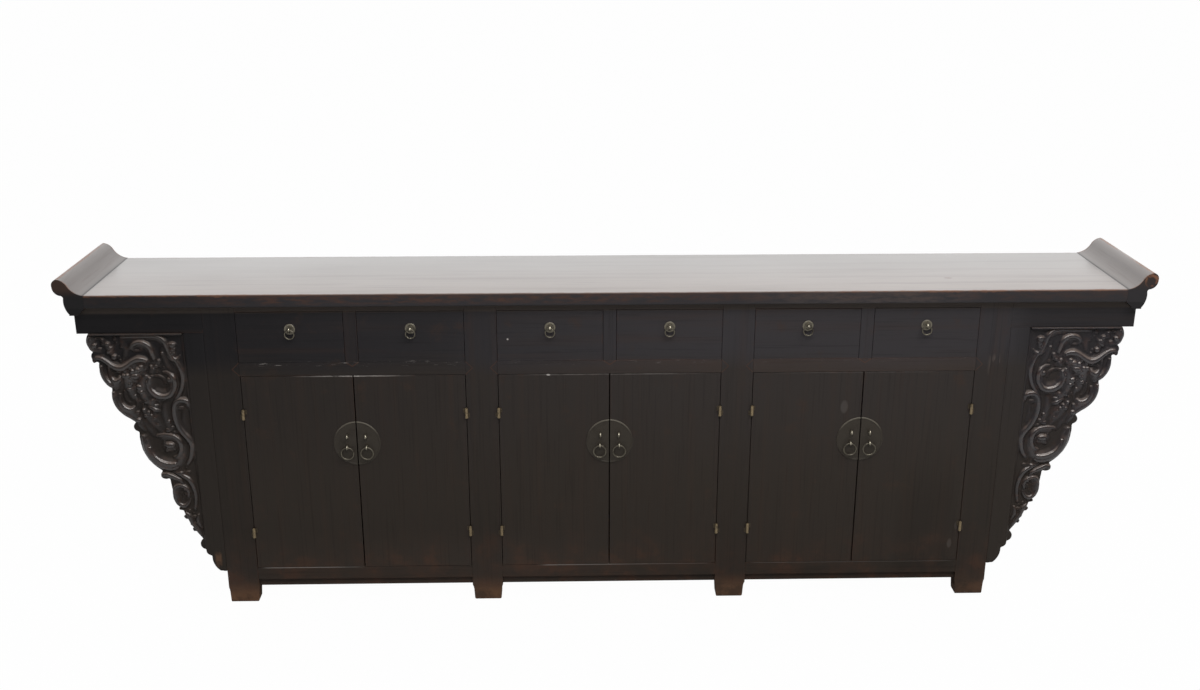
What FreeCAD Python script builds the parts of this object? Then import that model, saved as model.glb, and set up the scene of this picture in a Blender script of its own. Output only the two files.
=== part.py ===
"""Long altar coffer with everted end flanges, drawers, paired doors and carved spandrels.

The origin is on the floor under the middle of the top. +Z is up, the front faces -Y and the length runs
along X. Drawers, doors and legs are numbered from the left, as seen from the front. All sizes are in
millimetres and live in the spreadsheet.
"""
import FreeCAD, Part
import os
import re
import Sketcher

DRIVING_SIZES = {
    # Frame, in the front view
    "bay_width": 590,
    "leg_width": 84,
    "leg_depth": 48,
    "body_depth": 330,
    "floor_clearance": 51,
    "bottom_rail_height": 58,
    "door_opening_height": 563,
    "middle_rail_height": 37,
    "drawer_opening_height": 139,
    "top_rail_height": 18,
    "apron_height": 22,
    "apron_recess": 8,
    "apron_thickness": 16,
    "divider_width": 34,
    # Feet
    "foot_inset": 5.5,
    "foot_round": 5,
    "foot_shoulder": 3.5,
    "shoulder_drop": 6,
    # Top board and end flanges
    "top_thickness": 34,
    "top_overhang": 20,
    "end_overhang": 289,
    "flange_reach": 76,
    "flange_rise": 43,
    "flange_drop": 53,
    # Frieze and spandrels
    "frieze_height": 74,
    "frieze_setback": 4.3,
    "frieze_thickness": 20,
    "spandrel_setback": 19,
    "spandrel_lift": 99,
    "spandrel_thickness": 18,
    "spandrel_margin": 52,
    "carving_depth": 12,
    # Inner boards
    "panel_thickness": 12,
    "panel_recess": 8,
    "back_panel_thickness": 8,
    "back_panel_recess": 12,
    "floor_thickness": 14,
    "dust_board_thickness": 10,
    "runner_height": 20,
    "runner_reach": 14,
    "guide_height": 30,
    # Drawers
    "reveal": 1,
    "runner_gap": 0.3,
    "drawer_front_thickness": 20,
    "drawer_back_gap": 20,
    "drawer_side_thickness": 10,
    "drawer_side_drop": 27,
    "drawer_bottom_thickness": 6,
    "drawer_bottom_lift": 6,
    # Doors
    "hinge_side_gap": 1.5,
    "seam_gap": 3,
    "door_thickness": 18,
    "batten_height": 45,
    "batten_depth": 12,
    "batten_inset": 90,
    "batten_side_inset": 30,
    # Hinges
    "hinge_inset": 108,
    "hinge_height": 27,
    "barrel_radius": 4,
    "barrel_standoff": 0.4,
    "knuckle_gap": 0.3,
    "hinge_pin_radius": 1.6,
    "hinge_pin_clearance": 0.06,
    "hinge_pin_head": 1.2,
    "leaf_width": 11,
    "leaf_thickness": 1.2,
    # Brass plates, posts and rings
    "plate_thickness": 2,
    "door_plate_radius": 63,
    "door_plate_height": 370,
    "pull_plate_radius": 16,
    "pull_lift": 22,
    "post_radius": 3,
    "post_reach": 7,
    "eye_radius": 4.5,
    "eye_length": 5,
    "eye_clearance": 0.6,
    "drawer_ring_radius": 12,
    "drawer_ring_wire_radius": 1.9,
    "door_ring_radius": 16.5,
    "door_ring_wire_radius": 1.6,
    "door_ring_offset": 26,
    "door_ring_drop": 10,
    "staple_offset": 24.5,
    "staple_lift": 21,
    "staple_hole_radius": 2.6,
    "staple_width": 3.2,
}

BAYS = 3
LEGS = BAYS + 1
DRAWERS = 2 * BAYS
DOORS = 2 * BAYS

# End flange profile, anticlockwise from its top inner corner: each arc is a middle point and an end point,
# as shares of the reach outwards and of the rise (above zero) or the drop (below zero).
FLANGE_FOOT_SHARE = 0.53
FLANGE_ARC_SHARES = [
    ((0.30, 0.20), (0.50, 0.60)),
    ((0.66, 0.90), (0.83, 1.00)),
    ((0.97, 0.84), (1.00, 0.55)),
    ((0.92, 0.16), (0.76, 0.00)),
    ((0.69, -0.04), (0.665, -0.12)),
    ((0.65, -0.60), (FLANGE_FOOT_SHARE, -0.94)),
]
FLANGE_UNDERSIDE_SHARES = [(FLANGE_FOOT_SHARE, -1.0), (0.0, -1.0), (0.0, 0.0)]

# Spandrel outline from its top outer corner down to its tail: each lobe is a middle point and an end point,
# as shares of the width out from the leg and of the height down from the frieze.
SPANDREL_CORNER_SHARE = (0.969, 0.0)
SPANDREL_LOBE_SHARES = [
    ((1.000, 0.035), (0.950, 0.075)),
    ((0.957, 0.094), (0.906, 0.098)),
    ((0.902, 0.163), (0.828, 0.214)),
    ((0.801, 0.291), (0.657, 0.362)),
    ((0.684, 0.388), (0.644, 0.400)),
    ((0.621, 0.482), (0.478, 0.566)),
    ((0.490, 0.594), (0.424, 0.593)),
    ((0.407, 0.659), (0.337, 0.733)),
    ((0.284, 0.792), (0.189, 0.861)),
    ((0.214, 0.895), (0.174, 0.907)),
    ((0.147, 0.926), (0.122, 0.930)),
    ((0.110, 0.968), (0.062, 0.997)),
]
SPANDREL_TAIL_SHARES = [(0.0, 1.0), (0.0, 0.0)]

# Heights, built up from the floor
DOOR_FOOT = "(floor_clearance + bottom_rail_height)"
DOOR_HEAD = f"({DOOR_FOOT} + door_opening_height)"
DRAWER_FOOT = f"({DOOR_HEAD} + middle_rail_height)"
DRAWER_HEAD = f"({DRAWER_FOOT} + drawer_opening_height)"
UNDERSIDE = f"({DRAWER_HEAD} + top_rail_height)"
TOP = f"({UNDERSIDE} + top_thickness)"
FRIEZE_FOOT = f"({UNDERSIDE} - frieze_height)"

# Places across the depth
FRONT = "(-body_depth / 2)"
BACK = "(body_depth / 2)"
INNER_FRONT = f"({FRONT} + leg_depth)"
INNER_BACK = f"({BACK} - leg_depth)"
INNER_DEPTH = "(body_depth - 2 * leg_depth)"
BACK_PANEL_FACE = f"({BACK} - back_panel_recess - back_panel_thickness)"

# Places along the length
BODY_HALF_LENGTH = f"(({BAYS} * bay_width + {LEGS} * leg_width) / 2)"
TOP_HALF_LENGTH = f"({BODY_HALF_LENGTH} + end_overhang)"
DRAWER_OPENING_WIDTH = "((bay_width - divider_width) / 2)"
DOOR_WIDTH = "((bay_width - seam_gap) / 2 - hinge_side_gap)"

# Sizes of pieces that follow what carries them
FRIEZE_LENGTH = f"(end_overhang + {FLANGE_FOOT_SHARE} * flange_reach - frieze_setback)"
SPANDREL_WIDTH = f"({FRIEZE_LENGTH} - spandrel_setback)"
SPANDREL_HEIGHT = f"({FRIEZE_FOOT} - spandrel_lift)"
DRAWER_LENGTH = f"({BACK_PANEL_FACE} - drawer_back_gap - {FRONT})"
DRAWER_SIDE_HEIGHT = "(drawer_opening_height - drawer_side_drop)"

ALONG_X = FreeCAD.Rotation(FreeCAD.Vector(0, 1, 0), 90)
ALONG_Y = FreeCAD.Rotation(FreeCAD.Vector(1, 0, 0), -90)
UPRIGHT_RING = FreeCAD.Rotation(FreeCAD.Vector(1, 0, 0), 90)
UNTURNED = FreeCAD.Rotation()

DOC = FreeCAD.newDocument("altar_coffer")
NODES = {}


def make_sheet():
    """Fills the spreadsheet: a name in column A, its size in column B."""
    sheet = DOC.addObject("Spreadsheet::Sheet", "Sizes")
    for row, (alias, value) in enumerate(DRIVING_SIZES.items(), start=1):
        sheet.set(f"A{row}", alias)
        sheet.set(f"B{row}", str(value))
        sheet.setAlias(f"B{row}", alias)
    DOC.recompute()
    return sheet


SHEET = make_sheet()
ALIAS = re.compile(r"\b(" + "|".join(DRIVING_SIZES) + r")\b")


def in_sheet(formula):
    """Turns a formula on size names into one on the spreadsheet's cells."""
    return ALIAS.sub(r"Sizes.\1", formula)


def size(alias):
    """One size, read back from the spreadsheet."""
    return float(SHEET.get(alias))


def bind(thing, formulas):
    """Ties properties of an object to formulas on the spreadsheet."""
    for name, formula in formulas.items():
        thing.setExpression(name, in_sheet(formula))


def place(thing, x, y, z, turn=UNTURNED):
    """Turns an object and ties its place to three formulas."""
    thing.Placement = FreeCAD.Placement(FreeCAD.Vector(), turn)
    bind(thing, {"Placement.Base.x": x, "Placement.Base.y": y, "Placement.Base.z": z})
    return thing


def box(x, y, z, length, width, height):
    """A board: its low corner, then its extent along X, Y and Z."""
    board = DOC.addObject("Part::Box", "Board")
    bind(board, {"Length": length, "Width": width, "Height": height})
    return place(board, x, y, z)


def rod(x, y, z, radius, length, turn=UNTURNED, angle=360):
    """A round rod or disc from its end centre, along Z or along the turned Z."""
    solid = DOC.addObject("Part::Cylinder", "Rod")
    bind(solid, {"Radius": radius, "Height": length})
    solid.Angle = angle
    return place(solid, x, y, z, turn)


def joined(solids):
    """One solid from several that meet or overlap."""
    fuse = DOC.addObject("Part::MultiFuse", "Joined")
    fuse.Shapes = solids
    return fuse


def drilled(solid, drill):
    """A solid less another one."""
    cut = DOC.addObject("Part::Cut", "Drilled")
    cut.Base = solid
    cut.Tool = drill
    return cut


def node(label, solids):
    """Names a finished piece, or a group of like pieces that share a name."""
    piece = solids[0]
    if len(solids) > 1:
        piece = DOC.addObject("Part::Compound", label)
        piece.Links = solids
    piece.Label = label
    NODES[label] = piece
    return piece


def padded_profile(corners, x, y, z, thickness):
    """A board sawn to a straight-sided profile: corners in the front view, from a low left corner."""
    body = DOC.addObject("PartDesign::Body", "Sawn")
    sketch = body.newObject("Sketcher::SketchObject", "Profile")
    planes = {plane.Role: plane for plane in body.Origin.OriginFeatures}
    sketch.AttachmentSupport = [(planes["XZ_Plane"], "")]
    sketch.MapMode = "FlatFace"
    count = len(corners)
    points = [FreeCAD.Vector(*(value(part) for part in corner), 0) for corner in corners]
    for index, point in enumerate(points):
        sketch.addGeometry(Part.LineSegment(point, points[(index + 1) % count]), False)
    for index in range(count):
        sketch.addConstraint(Sketcher.Constraint("Coincident", index, 2, (index + 1) % count, 1))
    for index, (across, up) in enumerate(corners):
        pin_coordinate(sketch, "DistanceX", index, across, axis=-2)
        pin_coordinate(sketch, "DistanceY", index, up, axis=-1)
    pad = body.newObject("PartDesign::Pad", "Thickness")
    pad.Profile = sketch
    pad.Reversed = True
    bind(pad, {"Length": thickness})
    return place(body, x, y, z)


def pin_coordinate(sketch, kind, index, formula, axis):
    """Ties one coordinate of a line's start to a formula, or to the axis where it is zero."""
    if formula == "0":
        sketch.addConstraint(Sketcher.Constraint("PointOnObject", index, 1, axis))
        return
    constraint = sketch.addConstraint(Sketcher.Constraint(kind, -1, 1, index, 1, value(formula)))
    sketch.setExpression(f"Constraints[{constraint}]", in_sheet(formula))


def value(formula):
    """A formula's present value in millimetres."""
    return float(SHEET.evalExpression(formula))


def leg_left(leg):
    """Left edge of a leg, counted from 0 at the left."""
    return f"({leg} * (bay_width + leg_width) - {BODY_HALF_LENGTH})"


def bay_left(bay):
    """Left edge of a bay's opening."""
    return f"({leg_left(bay)} + leg_width)"


def panel_left(leg):
    """Left face of the upright board that joins a front leg and the back leg behind it."""
    if leg == 0:
        return f"({leg_left(leg)} + panel_recess)"
    if leg == LEGS - 1:
        return f"({leg_left(leg)} + leg_width - panel_recess - panel_thickness)"
    return f"({leg_left(leg)} + (leg_width - panel_thickness) / 2)"


def drawer_left(drawer):
    """Left edge of a drawer's opening, counted from 0 at the left."""
    bay, second = divmod(drawer, 2)
    return f"({bay_left(bay)} + {second} * ({DRAWER_OPENING_WIDTH} + divider_width))"


def make_top():
    """The top board, standing over the body on all sides."""
    length = f"(2 * {TOP_HALF_LENGTH})"
    depth = "(body_depth + 2 * top_overhang)"
    board = box(f"-{TOP_HALF_LENGTH}", f"-{depth} / 2", UNDERSIDE, length, depth, "top_thickness")
    node("top_board", [board])


def arc_edges(start, arcs):
    """Edges through a start point and pairs of middle and end points."""
    edges = []
    for middle, end in arcs:
        edges.append(Part.Arc(start, middle, end).toShape())
        start = end
    return edges


def line_edges(start, points):
    """Straight edges from a start point through more points."""
    edges = []
    for point in points:
        edges.append(Part.LineSegment(start, point).toShape())
        start = point
    return edges


def make_flange(label, side):
    """An end flange: a rolled lip that rises past the top board's end; side is -1 at the left."""
    end = value(TOP_HALF_LENGTH)
    top = value(TOP)
    half_depth = size("body_depth") / 2 + size("top_overhang")

    def point(shares):
        out, up = shares
        climb = size("flange_rise") if up > 0 else size("flange_drop")
        return FreeCAD.Vector(side * (end + out * size("flange_reach")), -half_depth, top + up * climb)

    start = point((0.0, 0.0))
    arcs = [(point(middle), point(finish)) for middle, finish in FLANGE_ARC_SHARES]
    edges = arc_edges(start, arcs)
    edges += line_edges(arcs[-1][1], [point(shares) for shares in FLANGE_UNDERSIDE_SHARES])
    face = Part.Face(Part.Wire(edges))
    flange = DOC.addObject("Part::Feature", label)
    flange.Shape = face.extrude(FreeCAD.Vector(0, 2 * half_depth, 0))
    node(label, [flange])


def make_spandrel(label, side):
    """A lobed bracket beside the outer leg, with its carved part standing proud of the body's front."""
    leg_edge = value(BODY_HALF_LENGTH)
    head = value(FRIEZE_FOOT)
    front = value(FRONT)
    width = value(SPANDREL_WIDTH)
    height = value(SPANDREL_HEIGHT)
    depth = size("carving_depth")
    margin = size("spandrel_margin")

    def point(shares):
        out, down = shares
        return FreeCAD.Vector(side * (leg_edge + out * width), front, head - down * height)

    start = point(SPANDREL_CORNER_SHARE)
    lobes = [(point(middle), point(finish)) for middle, finish in SPANDREL_LOBE_SHARES]
    edges = arc_edges(start, lobes)
    edges += line_edges(lobes[-1][1], [point(shares) for shares in SPANDREL_TAIL_SHARES])
    edges += line_edges(point(SPANDREL_TAIL_SHARES[-1]), [start])
    face = Part.Face(Part.Wire(edges))
    ground = face.extrude(FreeCAD.Vector(0, size("spandrel_thickness"), 0))
    carving = face.extrude(FreeCAD.Vector(0, -depth, 0))
    plain = Part.makeBox(margin, 2 * depth, 2 * height)
    plain_left = leg_edge if side > 0 else -leg_edge - margin
    plain.translate(FreeCAD.Vector(plain_left, front - 2 * depth, head - 2 * height))
    bracket = DOC.addObject("Part::Feature", label)
    bracket.Shape = ground.fuse(carving.cut(plain)).removeSplitter()
    node(label, [bracket])


def make_frieze():
    """Frieze boards that fill in under the overhang: front, back and across each end."""
    flange_foot = f"({TOP} - flange_drop - {FRIEZE_FOOT})"
    shoulder = f"({FRIEZE_LENGTH} - end_overhang)"
    right = [
        ("0", "0"),
        (FRIEZE_LENGTH, "0"),
        (FRIEZE_LENGTH, flange_foot),
        ("end_overhang", flange_foot),
        ("end_overhang", "frieze_height"),
        ("0", "frieze_height"),
    ]
    left = [
        ("0", "0"),
        (FRIEZE_LENGTH, "0"),
        (FRIEZE_LENGTH, "frieze_height"),
        (shoulder, "frieze_height"),
        (shoulder, flange_foot),
        ("0", flange_foot),
    ]
    inner_depth = "(body_depth - 2 * frieze_thickness)"
    outer_end = f"({BODY_HALF_LENGTH} + {FRIEZE_LENGTH})"
    boards = []
    for corners, start in ((right, BODY_HALF_LENGTH), (left, f"-{outer_end}")):
        for face in (FRONT, f"({BACK} - frieze_thickness)"):
            boards.append(padded_profile(corners, start, face, FRIEZE_FOOT, "frieze_thickness"))
    behind = f"({FRONT} + frieze_thickness)"
    for start in (f"-{outer_end}", f"({outer_end} - frieze_thickness)"):
        boards.append(box(start, behind, FRIEZE_FOOT, "frieze_thickness", inner_depth, flange_foot))
    node("frieze_boards", boards)


def make_legs():
    """Straight legs from the floor to the top, each drawn in a little at its foot."""
    shoulder_level = "(floor_clearance - shoulder_drop)"
    corners = [
        ("foot_inset + foot_round", "0"),
        ("leg_width - foot_inset - foot_round", "0"),
        ("leg_width - foot_inset", "foot_round"),
        ("leg_width - foot_shoulder", shoulder_level),
        ("leg_width", "floor_clearance"),
        ("leg_width", UNDERSIDE),
        ("0", UNDERSIDE),
        ("0", "floor_clearance"),
        ("foot_shoulder", shoulder_level),
        ("foot_inset", "foot_round"),
    ]
    for label, face in (("front_legs", FRONT), ("back_legs", INNER_BACK)):
        node(label, [padded_profile(corners, leg_left(leg), face, "0", "leg_depth") for leg in range(LEGS)])


def make_rails():
    """Rails between the legs at the front and back, and from front to back at each leg."""
    front = []
    back = []
    for bay in range(BAYS):
        left = bay_left(bay)
        apron_head = "(floor_clearance + apron_height)"
        apron = ("bay_width", "apron_thickness", "apron_height")
        rail_height = "(bottom_rail_height - apron_height)"
        front.append(box(left, FRONT, DRAWER_HEAD, "bay_width", "leg_depth", "top_rail_height"))
        front.append(box(left, FRONT, DOOR_HEAD, "bay_width", "leg_depth", "middle_rail_height"))
        front.append(box(left, FRONT, apron_head, "bay_width", "leg_depth", rail_height))
        front.append(box(left, f"({FRONT} + apron_recess)", "floor_clearance", *apron))
        back.append(box(left, INNER_BACK, DRAWER_HEAD, "bay_width", "leg_depth", "top_rail_height"))
        shelf_depth = f"({BACK_PANEL_FACE} - {INNER_BACK})"
        foot_rail = ("bay_width", "leg_depth", "bottom_rail_height")
        back.append(box(left, INNER_BACK, DOOR_HEAD, "bay_width", shelf_depth, "middle_rail_height"))
        back.append(box(left, INNER_BACK, "floor_clearance", *foot_rail))
    node("front_rails", front)
    node("back_rails", back)
    cross = []
    for leg in range(LEGS):
        for foot, height in (("floor_clearance", "bottom_rail_height"), (DRAWER_HEAD, "top_rail_height")):
            cross.append(box(leg_left(leg), INNER_FRONT, foot, "leg_width", INNER_DEPTH, height))
    node("cross_rails", cross)


def make_inner_boards():
    """End panels, partitions, backs, cupboard floors, dust boards and the uprights between drawers."""
    height = f"({DRAWER_HEAD} - {DOOR_FOOT})"
    panels = []
    for leg in range(LEGS):
        panels.append(box(panel_left(leg), INNER_FRONT, DOOR_FOOT, "panel_thickness", INNER_DEPTH, height))
    node("end_panels_and_partitions", panels)
    backs = []
    floors = []
    dust_boards = []
    dividers = []
    for bay in range(BAYS):
        left = bay_left(bay)
        backs.append(box(left, BACK_PANEL_FACE, DOOR_FOOT, "bay_width", "back_panel_thickness", height))
        floor_level = f"({DOOR_FOOT} - floor_thickness)"
        floors.append(box(left, INNER_FRONT, floor_level, "bay_width", INNER_DEPTH, "floor_thickness"))
        dust_left = f"({panel_left(bay)} + panel_thickness)"
        dust_level = f"({DRAWER_FOOT} - runner_height - dust_board_thickness)"
        dust_width = f"({panel_left(bay + 1)} - {dust_left})"
        dust_board = (dust_width, INNER_DEPTH, "dust_board_thickness")
        dust_boards.append(box(dust_left, INNER_FRONT, dust_level, *dust_board))
        divider_left = f"({left} + {DRAWER_OPENING_WIDTH})"
        divider = ("divider_width", "leg_depth", "drawer_opening_height")
        dividers.append(box(divider_left, FRONT, DRAWER_FOOT, *divider))
    node("back_panels", backs)
    node("cupboard_floors", floors)
    node("dust_boards", dust_boards)
    node("drawer_dividers", dividers)


def make_runners():
    """Runners under the drawer sides, with guides on them that keep the drawers straight."""
    solids = []
    for bay in range(BAYS):
        left = bay_left(bay)
        right = f"({left} + bay_width)"
        left_panel = f"({panel_left(bay)} + panel_thickness)"
        right_panel = panel_left(bay + 1)
        middle = f"({left} + {DRAWER_OPENING_WIDTH})"
        spans = [
            (left_panel, left, "0", "runner_reach"),
            (middle, f"({middle} + divider_width)", "runner_reach", "runner_reach"),
            (right, right_panel, "runner_reach", "0"),
        ]
        for start, end, left_reach, right_reach in spans:
            width = f"({end} - {start})"
            runner_start = f"({start} - {left_reach})"
            runner_width = f"({width} + {left_reach} + {right_reach})"
            level = f"({DRAWER_FOOT} - runner_height)"
            solids.append(box(runner_start, INNER_FRONT, level, runner_width, INNER_DEPTH, "runner_height"))
            solids.append(box(start, INNER_FRONT, DRAWER_FOOT, width, INNER_DEPTH, "guide_height"))
    node("drawer_runners", solids)


def eyed_post(x, z, eye_radius, eye_length, hole_radius):
    """A post that stands forward of a plate and ends in an eye, with the drill for the eye's hole."""
    plate_face = f"({FRONT} - plate_thickness)"
    eye_y = f"({plate_face} - post_reach)"
    shank = rod(x, eye_y, z, "post_radius", "post_reach", ALONG_Y)
    eye_left = f"({x} - ({eye_length}) / 2)"
    eye = rod(eye_left, eye_y, z, eye_radius, eye_length, ALONG_X)
    drill = rod(f"({eye_left} - ({eye_length}))", eye_y, z, hole_radius, f"3 * ({eye_length})", ALONG_X)
    return shank, eye, drill


def hanging_ring(label, x, z, ring_radius, wire_radius):
    """A drop ring that hangs from an eye at the given place."""
    ring = DOC.addObject("Part::Torus", "Ring")
    bind(ring, {"Radius1": ring_radius, "Radius2": wire_radius})
    place(ring, x, f"({FRONT} - plate_thickness - post_reach)", f"({z} - {ring_radius})", UPRIGHT_RING)
    node(label, [ring])


def make_drawer(drawer):
    """A drawer: a front, a box of two sides, a back and a bottom, and a ring pull."""
    name = f"drawer_{drawer + 1}"
    left = f"({drawer_left(drawer)} + reveal)"
    width = f"({DRAWER_OPENING_WIDTH} - 2 * reveal)"
    foot = f"({DRAWER_FOOT} + runner_gap)"
    front_height = "(drawer_opening_height - reveal - runner_gap)"
    front = box(left, FRONT, foot, width, "drawer_front_thickness", front_height)
    node(f"{name}_front", [front])
    box_start = f"({FRONT} + drawer_front_thickness)"
    box_length = f"({DRAWER_LENGTH} - drawer_front_thickness)"
    side = ("drawer_side_thickness", box_length, DRAWER_SIDE_HEIGHT)
    right_side = f"({left} + {width} - drawer_side_thickness)"
    inside_left = f"({left} + drawer_side_thickness)"
    inside_width = f"({width} - 2 * drawer_side_thickness)"
    back_y = f"({box_start} + {box_length} - drawer_side_thickness)"
    bottom_level = f"({foot} + drawer_bottom_lift)"
    bottom_length = f"({box_length} - drawer_side_thickness)"
    walls = [
        box(left, box_start, foot, *side),
        box(right_side, box_start, foot, *side),
        box(inside_left, back_y, foot, inside_width, "drawer_side_thickness", DRAWER_SIDE_HEIGHT),
        box(inside_left, box_start, bottom_level, inside_width, bottom_length, "drawer_bottom_thickness"),
    ]
    node(f"{name}_box", walls)
    middle = f"({drawer_left(drawer)} + {DRAWER_OPENING_WIDTH} / 2)"
    level = f"({DRAWER_FOOT} + drawer_opening_height / 2 + pull_lift)"
    plate_face = f"({FRONT} - plate_thickness)"
    plate = rod(middle, plate_face, level, "pull_plate_radius", "plate_thickness", ALONG_Y)
    hole_radius = "(drawer_ring_wire_radius + eye_clearance)"
    shank, eye, drill = eyed_post(middle, level, "eye_radius", "eye_length", hole_radius)
    node(f"{name}_pull", [drilled(joined([plate, shank, eye]), drill)])
    hanging_ring(f"{name}_ring", middle, level, "drawer_ring_radius", "drawer_ring_wire_radius")


def hinge_levels():
    """Foot of each of a door's two hinges."""
    low = f"({DOOR_FOOT} + hinge_inset - hinge_height / 2)"
    high = f"({DOOR_HEAD} - hinge_inset - hinge_height / 2)"
    return low, high


def hinge_axis(door):
    """Place across the front of a door's hinge line, in the middle of the gap beside the leg."""
    bay, second = divmod(door, 2)
    if second:
        return f"({bay_left(bay)} + bay_width - hinge_side_gap / 2)"
    return f"({bay_left(bay)} + hinge_side_gap / 2)"


def half_hinge(x, foot, height, side):
    """A knuckle on the hinge line with its leaf on the face; side is the way that the leaf runs."""
    line_y = f"({FRONT} - barrel_radius - barrel_standoff)"
    knuckle = rod(x, line_y, foot, "barrel_radius", height)
    leaf_left = x if side > 0 else f"({x} - leaf_width)"
    leaf = box(leaf_left, f"({FRONT} - leaf_thickness)", foot, "leaf_width", "leaf_thickness", height)
    return knuckle, leaf


def make_frame_hinges():
    """The fixed halves of all the hinges, each with the pin that its door turns on."""
    solids = []
    line_y = f"({FRONT} - barrel_radius - barrel_standoff)"
    height = "((hinge_height - knuckle_gap) / 2)"
    for door in range(DOORS):
        side = 1 if door % 2 else -1
        for foot in hinge_levels():
            x = hinge_axis(door)
            knuckle, leaf = half_hinge(x, foot, height, side)
            pin = rod(x, line_y, foot, "hinge_pin_radius", "(hinge_height + hinge_pin_head)")
            solids.append(joined([knuckle, leaf, pin]))
    node("hinge_frame_leaves", solids)


def make_door(door):
    """A flush door with battens behind, its half of the brass plate, its hinge halves and its ring."""
    name = f"door_{door + 1}"
    bay, second = divmod(door, 2)
    seam = f"({bay_left(bay)} + bay_width / 2)"
    side = 1 if second else -1
    left = f"({seam} + seam_gap / 2)" if second else f"({bay_left(bay)} + hinge_side_gap)"
    height = "(door_opening_height - 2 * reveal)"
    foot = f"({DOOR_FOOT} + reveal)"
    panel = box(left, FRONT, foot, DOOR_WIDTH, "door_thickness", height)
    batten_left = f"({left} + batten_side_inset)"
    batten_width = f"({DOOR_WIDTH} - 2 * batten_side_inset)"
    solids = [panel]
    for level in (f"({DOOR_FOOT} + batten_inset)", f"({DOOR_HEAD} - batten_inset - batten_height)"):
        batten_y = f"({FRONT} + door_thickness)"
        solids.append(box(batten_left, batten_y, level, batten_width, "batten_depth", "batten_height"))
    node(f"{name}_panel", solids)
    make_door_brass(name, door, seam, side)


def make_door_brass(name, door, seam, side):
    """Half of the round plate with a staple and a ring post, and the door's halves of its hinges."""
    edge = f"({seam} + {side} * seam_gap / 2)"
    centre = f"({DOOR_FOOT} + door_plate_height)"
    half_disc = FreeCAD.Rotation(
        FreeCAD.Vector(0, 0, side), FreeCAD.Vector(side, 0, 0), FreeCAD.Vector(0, 1, 0), "XYZ"
    )
    plate_radius = "(door_plate_radius - seam_gap / 2)"
    plate_face = f"({FRONT} - plate_thickness)"
    plate = rod(edge, plate_face, centre, plate_radius, "plate_thickness", half_disc, angle=180)
    ring_x = f"({seam} + {side} * door_ring_offset)"
    ring_z = f"({centre} - door_ring_drop)"
    hole_radius = "(door_ring_wire_radius + eye_clearance)"
    shank, eye, drill = eyed_post(ring_x, ring_z, "eye_radius", "eye_length", hole_radius)
    staple_x = f"({seam} + {side} * staple_offset)"
    staple_z = f"({centre} + staple_lift)"
    staple = eyed_post(staple_x, staple_z, "eye_radius", "staple_width", "staple_hole_radius")
    with_eyes = drilled(joined([plate, shank, eye, staple[0], staple[1]]), drill)
    solids = [drilled(with_eyes, staple[2])]
    x = hinge_axis(door)
    line_y = f"({FRONT} - barrel_radius - barrel_standoff)"
    height = "((hinge_height - knuckle_gap) / 2)"
    for foot in hinge_levels():
        upper = f"({foot} + {height} + knuckle_gap)"
        knuckle, leaf = half_hinge(x, upper, height, -side)
        bore = rod(x, line_y, foot, "(hinge_pin_radius + hinge_pin_clearance)", "2 * hinge_height")
        solids.append(drilled(joined([knuckle, leaf]), bore))
    node(f"{name}_brass", solids)
    hanging_ring(f"{name}_ring", ring_x, ring_z, "door_ring_radius", "door_ring_wire_radius")


def check_and_write():
    """Stops at a failed object or an empty piece, then writes each piece to its own file."""
    for thing in DOC.Objects:
        if "Invalid" in thing.State or "Error" in thing.State:
            raise RuntimeError(f"{thing.Label} failed: {thing.State}")
    os.makedirs("parts", exist_ok=True)
    for label, piece in NODES.items():
        shape = piece.Shape
        if shape.isNull() or not shape.isValid() or not shape.Solids:
            raise RuntimeError(f"{label} has no valid solid")
        shape.exportStep(f"parts/{label}.step")
        print(f"{label}: {len(shape.Solids)} solids, {shape.Volume / 1000:.1f} cubic centimetres")
    print(f"{len(NODES)} pieces written")


make_top()
make_flange("end_flange_left", -1)
make_flange("end_flange_right", 1)
make_spandrel("spandrel_left", -1)
make_spandrel("spandrel_right", 1)
make_frieze()
make_legs()
make_rails()
make_inner_boards()
make_runners()
make_frame_hinges()
for drawer_index in range(DRAWERS):
    make_drawer(drawer_index)
for door_index in range(DOORS):
    make_door(door_index)
DOC.recompute()
check_and_write()
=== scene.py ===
"""Long Chinese altar coffer: the seen pieces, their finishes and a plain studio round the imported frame."""
import math

import bpy
import numpy as np
from bpy.props import FloatProperty, FloatVectorProperty, PointerProperty
from mathutils import Matrix, Vector


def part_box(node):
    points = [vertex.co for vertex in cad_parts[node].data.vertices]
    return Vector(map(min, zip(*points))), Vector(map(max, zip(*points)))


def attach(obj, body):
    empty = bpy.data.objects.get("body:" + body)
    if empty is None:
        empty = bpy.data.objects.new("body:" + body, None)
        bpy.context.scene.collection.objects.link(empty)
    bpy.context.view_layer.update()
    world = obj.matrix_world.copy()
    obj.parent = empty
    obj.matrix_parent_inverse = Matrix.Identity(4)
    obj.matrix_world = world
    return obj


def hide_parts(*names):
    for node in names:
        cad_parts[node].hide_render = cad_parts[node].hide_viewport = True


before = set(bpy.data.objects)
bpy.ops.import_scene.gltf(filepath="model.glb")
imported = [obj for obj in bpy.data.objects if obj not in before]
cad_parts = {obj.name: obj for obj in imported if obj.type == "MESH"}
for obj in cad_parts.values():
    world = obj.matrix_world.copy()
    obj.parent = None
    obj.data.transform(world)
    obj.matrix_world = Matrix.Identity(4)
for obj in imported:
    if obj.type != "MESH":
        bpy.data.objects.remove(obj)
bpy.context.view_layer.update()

bl_info = {
    "name": "Chinese altar coffer",
    "version": (1, 0, 0),
    "blender": (4, 5, 0),
    "location": "View3D > Sidebar > Coffer",
    "description": "Makes the boards, carving, brass and finishes of a long altar coffer",
    "category": "Object",
}

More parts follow.
